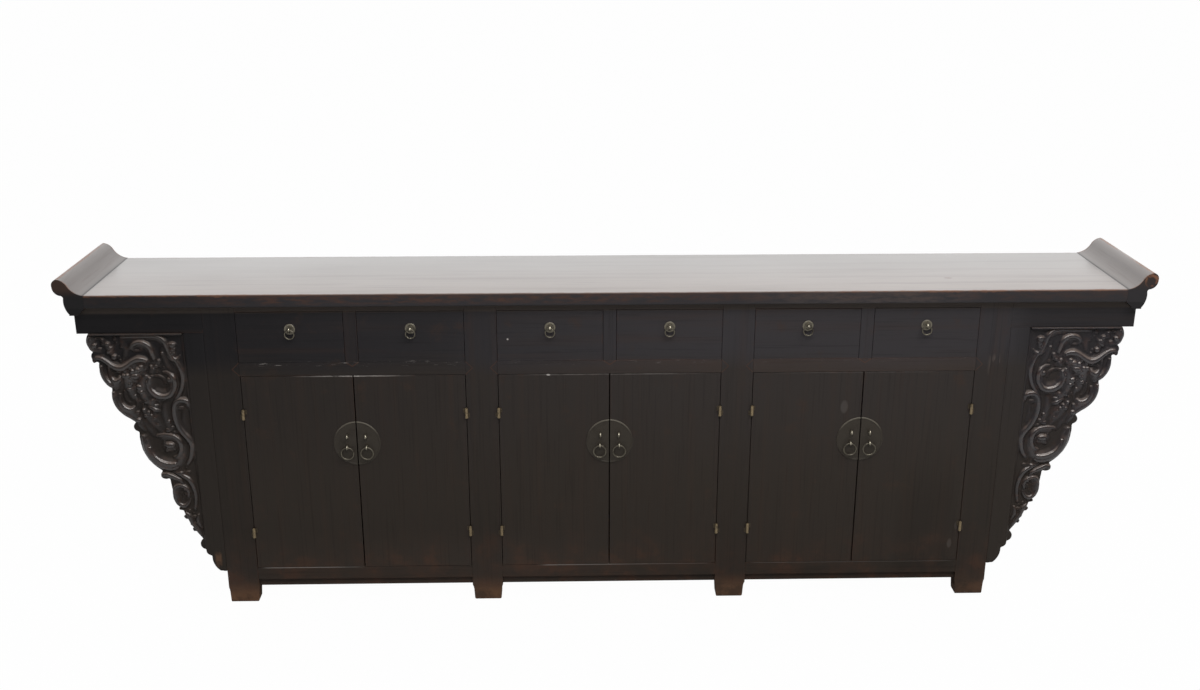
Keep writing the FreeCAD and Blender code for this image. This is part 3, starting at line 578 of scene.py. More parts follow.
def lacquer(along, edges=True):
    """Old dark lacquer over wood whose grain runs along x, y or z."""

    def make(finish, colours):
        place = finish.place()
        x, y, z = finish.parts(place)
        grain = finish.noise(place, drawn_out(along, 210, 5), detail=3)
        streaks = finish.noise(place, drawn_out(along, 34, 1.3), detail=4, move=(3.1, 1.7, 0.4))
        cloud = finish.noise(place, 2.6, detail=3)
        patch = finish.noise(place, 13, detail=5, roughness=0.62)
        # Near the floor: real brown patches and dust, laid paler and warmer also as painted light standing in for
        # the floor's bounce.
        low = (z + (cloud - 0.5) * 0.12).rise(0.24, 0.05)
        # Painted light: under the top's overhang the tone is made paler, lifting the shadow that the overhang
        # casts.
        painted_fill_under_top = z.rise(0.842, 0.850)
        tone = finish.laid(
            body_lacquer(finish, colours, x, z, cloud),
            (colours.brown, low * patch.rise(0.36, 0.60) * 0.7),
            (colours.worn, low * patch.rise(0.52, 0.68) * 0.45),
            (colours.dust_and_painted_light, low * x.rise(0.4, -0.2) * 0.06),
            (colours.brown, streaks.rise(0.45, 0.85) * 0.3),
            (colours.lacquer, painted_fill_under_top * 0.8),
            (colours.dust_and_painted_light, painted_fill_under_top * 0.16),
            (colours.brown, patch.rise(0.58, 0.74) * 0.4),
            (BLACK, grain.rise(0.5, 0.75) * 0.2),
        )
        if along == 0:
            rail = abs(z - 0.690).rise(0.022, 0.016) * x.rise(-0.6, 0.5)
            tone = finish.laid(tone, (colours.brown, rail * 0.18), (colours.dust_and_painted_light, rail * 0.04))
        if along == 2:
            dust_and_highlight = (z + (patch - 0.5) * 0.10).rise(0.085, 0.015) * (1 - x.rise(0.7, 1.0) * 0.55)
            shoulder = abs(z - 0.688).rise(0.036, 0.012) * abs(x - 1.032).rise(0.034, 0.014)
            streaky = finish.noise(place, (70, 70, 12), detail=3)
            tone = finish.laid(
                tone, (colours.foot, dust_and_highlight * (0.35 + patch.rise(0.4, 0.6) * 0.65)),
                (colours.dust_and_painted_light, shoulder * streaky.rise(0.48, 0.64) * 0.42),
            )
        else:
            dust_and_highlight = z.rise(0.120, 0.105)
            tone = finish.laid(tone, (BLACK, dust_and_highlight * 0.04))
        roughness = 0.38 + cloud * 0.14 + dust_and_highlight * 0.2
        relief = grain * 0.2 + patch * 0.8 + streaks * 0.5
        if edges:
            rub = (finish.edge_distance(place) + (patch - 0.5) * 0.008).rise(0.0026, 0.0004)
            specks = finish.noise(place, (26, 60, 220), detail=4, roughness=0.7)
            across = from_seam(x)
            left_bay, right_bay = x.rise(-0.30, -0.36), x.rise(0.30, 0.36)
            chips = abs(z - MIDDLE_RAIL[1] + 0.004).rise(0.010, 0.003) * across.rise(0.290, 0.284)
            chips = chips * (left_bay * 0.24 + 0.11 - right_bay * 0.06) * specks.rise(0.58, 0.68)
            # Painted highlight: a pale glint on the doors' top arrises near the seams.
            door_top_glint = abs(z - DOOR_TOP).rise(0.0020, 0.0010) * specks.rise(0.30, 0.56)
            door_top_glint = door_top_glint * (across + left_bay * 0.10).rise(0.28, 0.10)
            door_top_glint = door_top_glint * (left_bay * 0.46 + 0.13 - right_bay * 0.08)
            # Painted highlight: a pale glint along the bottom rail's top arris.
            sill_glint = abs(z - BOTTOM_RAIL[1] + 0.0006).rise(0.0018, 0.0008) * across.rise(0.29, 0.26)
            sill_glint = sill_glint * (cloud + x * 0.1).rise(0.42, 0.5) * (x.rise(0.3, -0.3) * 0.24 + 0.06)
            marks = [finish.spot(x, z, row[:2], row[2:4], patch) * row[4] for row in PALE_MARKS.get(along, ())]
            joint = joint_lines(x, z)
            tone = finish.laid(
                tone, (colours.worn, rub * streaks.rise(0.5, 0.62) * 0.16),
                *((colours.chips_and_glints, share) for share in (chips, door_top_glint, *marks, sill_glint)),
                (BLACK, joint * 0.3), (colours.rust, joint * 0.22),
            )
            roughness = roughness + rub * 0.08
            relief = relief - joint
        finish.surface(tone, roughness, relief, depth=0.0006, strength=0.4, Specular_IOR_Level=0.18)

    return finish_once(f"lacquer_grain_{'xyz'[along]}{'' if edges else '_inner'}", make)


def table_lacquer():
    """The top board: rubbed and glossy above, dark on its edges with painted sheen greyer to the right, red brown
    on the arris.
    """

    def make(finish, colours):
        place = finish.place()
        streaks = finish.noise(place, (1.1, 30, 30), detail=5, roughness=0.6)
        grain = finish.noise(place, (6, 240, 240), detail=3)
        cloud = finish.noise(place, (1.8, 5, 5), detail=4)
        patch = finish.noise(place, 26, detail=5, roughness=0.65)
        mottle = finish.noise(place, (20, 60, 90), detail=8, roughness=0.76)
        x, y, z = finish.parts(place)
        down = TOP_HIGH[2] - z
        away = TOP_HIGH[1] - abs(y)
        upper = down.rise(0.0022, 0.0006)
        right = (x + (cloud - 0.5) * 0.5).rise(-1.4, -0.7)
        worn = mottle.rise(0.42, 0.62) * down.rise(0.034, 0.018)
        redder = x.rise(-1.2, -0.8) - x.rise(-0.2, 0.6) * 0.7
        paler = abs(x - 0.66).rise(0.36, 0.12) * mottle.rise(0.34, 0.60)
        # The edges: painted sheen from dark at the left to greyer at the right, with red brown worn spots and paler
        # patches.
        dark = finish.laid(
            colours.shade, (colours.painted_sheen, right * 0.56), (colours.worn, worn * (redder * 0.45 + 0.1)),
            (colours.handled, paler * 0.16),
        )
        face = finish.laid(
            colours.table, (colours.handled, y.rise(0.15, -0.17)), (colours.brown, streaks.rise(0.48, 0.75) * 0.6),
            (BLACK, grain.rise(0.5, 0.72) * 0.3),
        )
        rub = (down + away + (mottle - 0.5) * 0.022 + (patch - 0.5) * 0.01).rise(0.0055, 0.001)
        toward_ends = abs(x + 0.1).rise(0.5, 0.95)
        seam = (TOP_HIGH[0] - abs(x)).rise(0.0036, 0.0008)
        tone = finish.laid(
            dark, (face, upper), (colours.rust, rub * (0.2 + toward_ends * 0.4)), (BLACK, seam * upper * 0.8),
        )
        dash = finish.spot(x, y, TOP_DASH[:2], TOP_DASH[2:], 0.5) * upper
        dull = dash * 0.5 + streaks.rise(0.42, 0.70) * 0.05
        roughness = 0.30 + cloud * 0.16 + rub * 0.25 + (1 - upper) * 0.14
        finish.surface(
            tone, roughness, streaks + grain * 0.25 + patch * 0.3, depth=0.0005, strength=0.25,
            Specular_IOR_Level=0.3, Coat_Weight=upper * 0.82 * (1 - rub * 0.6) * (1 - dull),
            Coat_Roughness=0.28, Coat_IOR=1.6,
        )

    return finish_once("lacquer_rubbed_top", make)


def flange_lacquer():
    """The end flanges: rubbed on the roll, dark under it with painted shadow below the top's underside, red brown
    on the rims of the end grain.
    """

    def make(finish, colours):
        place = finish.place()
        grain = finish.noise(place, (200, 6, 200), detail=3)
        cloud = finish.noise(place, 7, detail=4)
        patch = finish.noise(place, 40, detail=5, roughness=0.65)
        x, y, z = finish.parts(place)
        out = abs(x) - TOP_HIGH[0]
        over = z - TOP_HIGH[2]
        end = TOP_HIGH[1] - abs(y)
        right = x.rise(-1, 1)
        upper = over.rise(-0.006, 0.004) * end.rise(0.0008, 0.004)
        roll = over.rise(-0.006, 0.02) * (1 - upper)
        ring_up = over - FLANGE_RISE * 0.5
        ring_out = out - FLANGE_REACH * 0.78
        ring = abs((ring_up * ring_up + ring_out * ring_out).root() - 0.0150 + (patch - 0.5) * 0.016)
        ring = ring.rise(0.006, 0.002) * (patch + ring_up * 4).rise(0.42, 0.58)
        rub = end.rise(0.006, 0.0018) * end.rise(0.0002, 0.0014) * patch.rise(0.36, 0.56)
        crest = (out + (patch - 0.5) * 0.006).rise(0.056, 0.062) * upper * cloud.rise(0.25, 0.5)
        crest = crest * over.rise(FLANGE_RISE - 0.014, FLANGE_RISE - 0.005)
        seam = out.rise(0.0060, 0.0012) * upper
        tone = finish.laid(
            body_lacquer(finish, colours, x, z, cloud),
            (colours.table, upper),
            (colours.brown, grain.rise(0.5, 0.7) * upper * 0.5),
            (colours.brown, roll * (0.75 - right * 0.4)),
            (colours.rust, ring * roll * right * 0.9),
            (colours.rust, rub * 0.85),
            (colours.rust, crest * 0.8),
            # Painted shadow: darker below the top's underside, where the overhang shades the flange's foot.
            (BLACK, z.rise(TOP_LOW[2] + 0.001, TOP_LOW[2] - 0.001) * 0.4),
            (BLACK, seam * 0.85),
        )
        coat = upper * (1 - seam) * (1 - rub * 0.7) * (1 - crest * 0.8) * (right * 0.19 + 0.60)
        finish.surface(
            tone, 0.34 + cloud * 0.14 + rub * 0.15, grain * 0.3 + patch * 0.5, depth=0.0005, strength=0.35,
            Specular_IOR_Level=0.3, Coat_Weight=coat, Coat_Roughness=0.3,
        )

    return finish_once("lacquer_end_flange", make)


def carving_lacquer():
    """The spandrels: dull and dark in the hollows, handled and glossy on the ridges, with painted highlight on
    slopes that face up and painted cool sheen on the right.
    """

    def make(finish, colours):
        place = finish.place()
        grain = finish.noise(place, (200, 200, 6), detail=3)
        cloud = finish.noise(place, 6, detail=4)
        wide_cloud = finish.noise(place, 2.6, detail=3)
        patch = finish.noise(place, 60, detail=5, roughness=0.65)
        x, y, z = finish.parts(place)
        out = abs(x) - OUTER_LEG
        carved = out.rise(CARVED_MARGIN, CARVED_MARGIN + 0.004) * z.rise(0.155, 0.185)
        ridge = y.rise(GROUND_FACE - 0.002, GROUND_FACE - 0.010) * carved
        hollow = y.rise(SPANDREL_FACE - 0.001, GROUND_FACE) * y.rise(SPANDREL_BACK, GROUND_FACE + 0.002)
        ledge = z.rise(FRIEZE_FOOT - 0.0042, FRIEZE_FOOT - 0.0034)
        # Painted highlight: slopes that face up, most on the ridges, are laid over with a pale tone.
        dust_and_highlight = finish.facing_up().rise(0.28, 0.72) * carved * (0.4 + ridge * 0.5) * (1 - ledge * 0.6)
        bald = abs(z + (patch - 0.5) * 0.05 - 0.138).rise(0.026, 0.010)
        bald = bald * abs(out - 0.020).rise(0.012, 0.004) * x.rise(0.1, -0.1)
        body = body_lacquer(finish, colours, x, z, wide_cloud)
        # Painted sheen: a cooler tone on the carving's upper right, so that its highlights read cool.
        polish_and_sheen = finish.laid(colours.polish_and_sheen, (colours.sheen, x.rise(-0.6, 0.8) * z.rise(0.3, 0.6)))
        tone = finish.laid(
            body, (polish_and_sheen, carved),
            (colours.shade, cloud.rise(0.35, 0.6) * carved * 0.4),
            (colours.worn, patch.rise(0.48, 0.68) * carved * 0.3),
            (BLACK, grain.rise(0.52, 0.72) * 0.2),
            (body, hollow * carved * 0.85),
            (colours.dust_and_painted_light, dust_and_highlight),
            (colours.foot, bald * 0.6),
        )
        finish.surface(
            tone, 0.42 - ridge * 0.1 + patch * 0.06, patch * 0.6 + grain * 0.3, depth=0.0006, strength=0.25,
            Specular_IOR_Level=0.2, Coat_Weight=ridge * (0.85 - ledge * 0.45), Coat_Roughness=0.18, Coat_IOR=1.7,
        )

    return finish_once("lacquer_carving", make)


def bare_wood(along):
    """Wood inside the coffer that was never lacquered."""

    def make(finish, colours):
        place = finish.place()
        grain = finish.noise(place, drawn_out(along, 120, 3), detail=4)
        bands = finish.noise(place, drawn_out(along, 26, 0.9), detail=3, distortion=0.6, move=(0.7, 2.3, 1.1))
        cloud = finish.noise(place, 4, detail=4)
        tone = finish.laid(
            colours.bare, (colours.bare_dark, bands.rise(0.4, 0.66) * 0.7),
            (colours.bare_dark, grain.rise(0.5, 0.7) * 0.6), (BLACK, cloud.rise(0.45, 0.8) * 0.35),
        )
        finish.surface(
            tone, 0.66 + grain * 0.16, grain + bands * 0.6, depth=0.0004, strength=0.5, Specular_IOR_Level=0.35
        )

    return finish_once(f"bare_wood_grain_{'xyz'[along]}", make)


def aged_brass(kind):
    """Old brass: dull on the flat, rubbed on what hands touch, with painted highlight on the eyes' upper sides and
    the plates' upper rims.
    """

    def make(finish, colours):
        bright, metal, rough, gloss, speckled = BRASSES[kind]
        place = finish.place()
        cloud = finish.noise(place, 45, detail=5, roughness=0.6)
        speck = finish.noise(place, 320, detail=3)
        x, y, z = finish.parts(place)
        share = {
            "plate": lambda: 0.05,
            "fitting": lambda: y.rise(FRONT - 0.0013, FRONT - 0.0018) * 0.24 + 0.45,
            "ring": lambda: 0.56,
            # Painted highlight: the eyes' brass is bright on their up-facing sides and dull below.
            "eye": lambda: finish.facing_up().rise(-0.3, 0.3) * 0.8 + 0.2,
            "hinge": lambda: y.rise(FRONT - 0.0016, FRONT - 0.0032) * 0.85 + 0.15,
        }[kind]()
        tone = finish.laid(
            colours.patina, (getattr(colours, bright), share * cloud.rise(0.2, 0.5)),
            (BLACK, speck.rise(0.52, 0.75) * speckled),
        )
        if kind == "plate":
            across, over = from_seam(x), z - PLATE_HEIGHT
            radius = (across * across + over * over).root()
            # Painted highlight: bright brass on the upper arc of the plate's rim.
            rim = radius.rise(PLATE_RADIUS - 0.0042, PLATE_RADIUS - 0.0024) * over.rise(0.018, 0.050)
            tone = finish.laid(tone, (colours.rubbed, rim * 0.14))
        finish.surface(
            tone, rough + cloud * 0.12, cloud + speck * 0.4, depth=0.0002, strength=0.3, Metallic=metal,
            Specular_IOR_Level=gloss,
        )

    return finish_once(f"aged_brass_{kind}", make)


def put_down():
    """Leave edit mode and select nothing."""
    if bpy.context.mode != "OBJECT":
        bpy.ops.object.mode_set(mode="OBJECT")
    bpy.ops.object.select_all(action="DESELECT")


def take(*pieces):
    """Select these pieces alone, the first as the active one."""
    put_down()
    for piece in pieces:
        piece.select_set(True)
    bpy.context.view_layer.objects.active = pieces[0]


def edit():
    """Enter edit mode with all of the active piece selected."""
    bpy.ops.object.mode_set(mode="EDIT")
    bpy.ops.mesh.select_all(action="SELECT")


def leave_outward():
    """Turn all faces in edit mode outwards and leave it."""
    bpy.ops.mesh.select_all(action="SELECT")
    bpy.ops.mesh.normals_make_consistent(inside=False)
    bpy.ops.object.mode_set(mode="OBJECT")


def named(name):
    """The active piece, with its mesh, under this name."""
    piece = bpy.context.object
    piece.name = name
    piece.data.name = name
    return piece


def settle(name):
    """Name the piece just added and put its place into its mesh."""
    bpy.ops.object.transform_apply(location=True, rotation=True, scale=True)
    return named(name)


def coat(finish, *pieces):
    """Put this finish on the pieces."""
    for piece in pieces:
        piece.data.materials.append(finish)


def block(name, low, high):
    """A square block between two corners."""
    put_down()
    low, high = Vector(low), Vector(high)
    bpy.ops.mesh.primitive_cube_add(size=1, location=(low + high) / 2, scale=high - low)
    return settle(name)


def apply(piece, kind, **settings):
    """Add a modifier and apply it."""
    take(piece)
    modifier = piece.modifiers.new(kind.lower(), kind)
    for key, value in settings.items():
        setattr(modifier, key, value)
    bpy.ops.object.modifier_apply(modifier=modifier.name)


def ease(piece, width, segments=2, angle=30):
    """Round the sharp edges and keep the faces flat."""
    take(piece)
    bpy.ops.object.shade_smooth()
    apply(
        piece, "BEVEL", width=width, segments=segments, limit_method="ANGLE", angle_limit=math.radians(angle),
        harden_normals=True, use_clamp_overlap=True, miter_outer="MITER_ARC",
    )


def mark_board(piece):
    """Keep the board's middle and half size on its points, so that a finish can tell how near an edge is."""
    points = [vertex.co for vertex in piece.data.vertices]
    low = [min(point[axis] for point in points) for axis in range(3)]
    high = [max(point[axis] for point in points) for axis in range(3)]
    middle = [(a + b) / 2 for a, b in zip(low, high)]
    half = [(b - a) / 2 for a, b in zip(low, high)]
    for name, value in (("board_middle", middle), ("board_half", half)):
        layer = piece.data.attributes.new(name, "FLOAT_VECTOR", "POINT")
        layer.data.foreach_set("vector", value * len(points))


def planed(piece, finish, arris, segments=3):
    """Ease a board's edges and finish it."""
    ease(piece, arris, segments)
    mark_board(piece)
    coat(finish, piece)
    return piece


def board(name, low, high, finish, arris):
    """A planed board with eased edges."""
    return planed(block(name, low, high), finish, arris)


def joined(name, pieces):
    """Several pieces as one object of this name."""
    take(*pieces)
    if len(pieces) > 1:
        bpy.ops.object.join()
    return named(name)


def fit(piece, body, slot, *nodes):
    """Hand the piece to its body and hide the solids that it stands for; its slot is not used."""
    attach(piece, body)
    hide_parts(*nodes)


def repaint(node, finish):
    """Give a solid that stays as it is another finish."""
    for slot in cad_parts[node].material_slots:
        slot.material = finish


def select_part(piece, kind, test):
    """In edit mode, select the points that pass the test, or the edges whose two ends do."""
    bpy.ops.object.mode_set(mode="EDIT")
    bpy.ops.mesh.select_mode(type=kind)
    bpy.ops.mesh.select_all(action="DESELECT")
    bpy.ops.object.mode_set(mode="OBJECT")
    points = piece.data.vertices
    if kind == "EDGE":
        for edge in piece.data.edges:
            edge.select = test(*(points[i].co for i in edge.vertices))
    else:
        for point in points:
            point.select = test(point.co)
        for part in (*piece.data.edges, *piece.data.polygons):
            part.select = all(points[i].select for i in part.vertices)
    bpy.ops.object.mode_set(mode="EDIT")


def arc(start, middle, end, steps):
    """Points on the arc from start through middle to end, without start."""
    (ax, az), (bx, bz), (cx, cz) = start, middle, end
    twice = 2 * (ax * (bz - cz) + bx * (cz - az) + cx * (az - bz))
    a, b, c = ax * ax + az * az, bx * bx + bz * bz, cx * cx + cz * cz
    ux = (a * (bz - cz) + b * (cz - az) + c * (az - bz)) / twice
    uz = (a * (cx - bx) + b * (ax - cx) + c * (bx - ax)) / twice
    radius = math.hypot(ax - ux, az - uz)
    first = math.atan2(az - uz, ax - ux)
    through = (math.atan2(bz - uz, bx - ux) - first) % math.tau
    turn = (math.atan2(cz - uz, cx - ux) - first) % math.tau
    if through > turn:
        turn -= math.tau
    angles = [first + turn * step / steps for step in range(1, steps + 1)]
    return [(ux + radius * math.cos(angle), uz + radius * math.sin(angle)) for angle in angles]


def outline(at, start, arcs, corners, steps):
    """Points round a board's edge: arcs from the start, then corners, each share placed by at."""
    points = [at(*start)]
    for middle, end in arcs:
        points += arc(points[-1], at(*middle), at(*end), steps)
    return points + [at(*corner) for corner in corners]


def sawn(name, shape, near, far):
    """A board sawn to an outline of (x, z) points, from y near to y far."""
    put_down()
    bpy.ops.mesh.primitive_circle_add(vertices=len(shape), radius=0.1, fill_type="NGON")
    piece = settle(name)
    for vertex, (x, z) in zip(piece.data.vertices, shape):
        vertex.co = (x, near, z)
    edit()
    bpy.ops.mesh.extrude_region_move(TRANSFORM_OT_translate={"value": (0, far - near, 0)})
    leave_outward()
    return piece


def bent_rods(name, runs, closed=False, roundness=3, smoothness=6):
    """Round rods bent along rows of (x, y, z, half thickness), as one mesh."""
    put_down()
    curve = bpy.data.curves.new(name, "CURVE")
    curve.dimensions = "3D"
    curve.bevel_depth = 1.0
    curve.bevel_resolution = roundness
    curve.resolution_u = smoothness
    curve.use_fill_caps = not closed
    for run in runs:
        spline = curve.splines.new("BEZIER")
        spline.bezier_points.add(len(run) - 1)
        spline.use_cyclic_u = closed
        for point, (*place, half) in zip(spline.bezier_points, run):
            point.co = place
            point.radius = half
            point.handle_left_type = point.handle_right_type = "AUTO"
    piece = bpy.data.objects.new(name, curve)
    bpy.context.collection.objects.link(piece)
    take(piece)
    bpy.ops.object.convert(target="MESH")
    return named(name)


def copy_of(piece, name, step=(0, 0, 0), left_for_right=False):
    """A copy of the piece with its own mesh, moved by step or turned left for right."""
    take(piece)
    bpy.ops.object.duplicate()
    copy = named(name)
    copy.location = step
    copy.scale.x = -1 if left_for_right else 1
    bpy.ops.object.transform_apply(location=True, rotation=False, scale=True)
    if left_for_right:
        edit()
        leave_outward()
    return copy


def flange_place(out, up):
    """(x, z) of a share of the right flange's reach, and of its rise above the top or its drop below."""
    return TOP_HIGH[0] + out * FLANGE_REACH, TOP_HIGH[2] + up * (FLANGE_RISE if up > 0 else FLANGE_DROP)


def spandrel_place(out, down):
    """(x, z) of a share of the left spandrel's width and height."""
    return -OUTER_LEG - out * SPANDREL_WIDTH, FRIEZE_FOOT - down * (FRIEZE_FOOT - SPANDREL_FOOT)


def swell_lift(places):
    """How far the broad swells stand out from the ground at each (out, down) place, in millimetres."""
    places = np.array(places)
    lift = np.zeros(len(places))
    for start, end in np.array([pair for row in CARVED_SWELLS for pair in zip(row, row[1:])], float):
        along = (end - start)[:2]
        share = np.clip((places - start[:2]) @ along / (along @ along), 0, 1)
        away = np.linalg.norm(places - start[:2] - share[:, None] * along, axis=1)
        half = start[2] + share * (end[2] - start[2])
        near = np.clip(1 - (away / (half * SWELL_SPREAD)) ** 2, 0, 1)
        lift = np.maximum(lift, half * SWELL_RISE * near ** 2)
    return lift


def swelled(name, shape):
    """The carving's ground, sawn to the outline, with its front face raised into the broad swells."""
    piece = sawn(name, shape, GROUND_FACE, SPANDREL_BACK)
    apply(piece, "REMESH", mode="VOXEL", voxel_size=GROUND_GRAIN)
    points = [vertex.co for vertex in piece.data.vertices if vertex.co.y < GROUND_FACE + HAIR]
    lifts = swell_lift([((-OUTER_LEG - point.x) * 1000, (FRIEZE_FOOT - point.z) * 1000) for point in points])
    for point, lift in zip(points, lifts):
        point.y -= lift / 1000
    return piece


def carved_point(out, down, half, lift):
    """The middle of a rod that lies on the swells, partly sunk into them."""
    near = GROUND_FACE + (half * BAND_SUNK - lift / BAND_STEEPNESS) / 1000
    return (-OUTER_LEG - out / 1000, near, FRIEZE_FOOT - down / 1000, half / 1000)


def bead_run(out, down, wide, high):
    """A bead as a very short rod along its longer side."""
    wide, high = wide * BEAD_SHARE, high * BEAD_SHARE
    if wide >= high:
        return [(out + wide * share, down, high * size) for share, size in BEAD_SHAPE]
    return [(out, down + high * share, wide * size) for share, size in BEAD_SHAPE]


def relief(name, rows):
    """Rods laid over the swells and drawn out towards the front, held back softly near the full depth."""
    runs = []
    for row in rows:
        lifts = swell_lift([point[:2] for point in row])
        runs.append([carved_point(*point, lift) for point, lift in zip(row, lifts)])
    piece = bent_rods(name, runs)
    full = GROUND_FACE - CARVING_FACE
    for vertex in piece.data.vertices:
        depth = (GROUND_FACE - vertex.co.y) * BAND_STEEPNESS
        if depth > 0:
            vertex.co.y = GROUND_FACE - depth / (1 + (depth / full) ** 4) ** 0.25
        else:
            vertex.co.y = min(vertex.co.y, GROUND_FACE + BAND_ROOT)
    return piece


def plate(name, radius, sizes):
    """A round brass plate with a raised rim, standing on the front face at the origin's x and z."""
    put_down()
    bpy.ops.mesh.primitive_circle_add(
        vertices=96, radius=radius, fill_type="NGON", location=(0, FRONT, 0), rotation=(math.pi / 2, 0, 0)
    )
    piece = settle(name)
    edit()
    bpy.ops.mesh.extrude_region_move(TRANSFORM_OT_translate={"value": (0, -PLATE_THICKNESS, 0)})
    bpy.ops.mesh.bevel(offset=PLATE_THICKNESS * 0.6, segments=1)
    select_part(piece, "VERT", lambda point: point.y < FRONT - PLATE_THICKNESS + 1e-5)
    bpy.ops.mesh.inset(thickness=sizes.plate_rim, depth=0)
    bpy.ops.mesh.inset(thickness=sizes.plate_dish, depth=0)
    bpy.ops.transform.translate(value=(0, sizes.plate_dish, 0))
    leave_outward()
    return piece


def rod(name, sides, radius, length, place, arris, turn=(0, 0, 0), segments=2):
    """A straight round rod with eased ends."""
    put_down()
    bpy.ops.mesh.primitive_cylinder_add(vertices=sides, radius=radius, depth=length, location=place, rotation=turn)
    piece = settle(name)
    ease(piece, arris, segments)
    return piece


def eye(name, x, z, width):
    """A loop that stands out from the plate, its hole along x, on a short shank."""
    put_down()
    bpy.ops.mesh.primitive_torus_add(
        major_radius=EYE_HOLE + EYE_WIRE, minor_radius=EYE_WIRE, major_segments=28, minor_segments=12,
        location=(x, EYE_DEPTH, z), rotation=(0, math.pi / 2, 0),
    )
    bpy.context.object.scale = (1, 1, width / EYE_WIRE / 2)
    loop = settle(name)
    turned = (math.pi / 2, 0, 0)
    shank = rod(f"{name}_shank", 20, SHANK_RADIUS, SHANK_LENGTH, (x, SHANK_MIDDLE, z), 0.0006, turned, segments=3)
    take(loop)
    bpy.ops.object.shade_smooth()
    coat(aged_brass("eye"), loop, shank)
    return [loop, shank]


def ring(name, x, z, radius, wire):
    """A drop ring that hangs flat in front of its plate, a little heavier at the foot."""
    run = []
    for step in range(8):
        across, up = math.sin(math.tau * step / 8), math.cos(math.tau * step / 8)
        run.append((x + radius * across, EYE_DEPTH, z - radius + radius * up, wire * (1.0 - 0.10 * up)))
    piece = bent_rods(name, [run], closed=True, roundness=4, smoothness=8)
    take(piece)
    bpy.ops.object.shade_smooth()
    coat(aged_brass("ring"), piece)
    return piece


def eye_height(ring_node, radius):
    """Height of the ring's middle line at its top, inside the eye."""
    low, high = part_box(ring_node)
    return (low[2] + high[2]) / 2 + radius


class COFFER_OT_top(bpy.types.Operator):
    """Make the top board and its two everted end flanges."""

    bl_idname = "coffer.top"
    bl_label = "Top and end flanges"

    def execute(self, context):
        sizes = context.scene.coffer_sizes
        top = block("top_plank", TOP_LOW, TOP_HIGH)
        take(top)
        select_part(top, "EDGE", lambda a, b: abs(a.x - b.x) > 1)
        bpy.ops.mesh.bevel(offset=sizes.top_arris, segments=6)
        fit(planed(top, table_lacquer(), FINE_ARRIS, 2), "carcass", LACQUER_SLOT, "top_board")
        shape = outline(flange_place, (0, 0), FLANGE_ARCS, FLANGE_CORNERS, 9)
        right = sawn("scroll_end_right", shape, TOP_LOW[1], TOP_HIGH[1])
        left = copy_of(right, "scroll_end_left", left_for_right=True)
        for piece, node in ((left, "end_flange_left"), (right, "end_flange_right")):
            ease(piece, sizes.arris, 3, angle=40)
            coat(flange_lacquer(), piece)
            fit(piece, "carcass", LACQUER_SLOT, node)
        return {"FINISHED"}


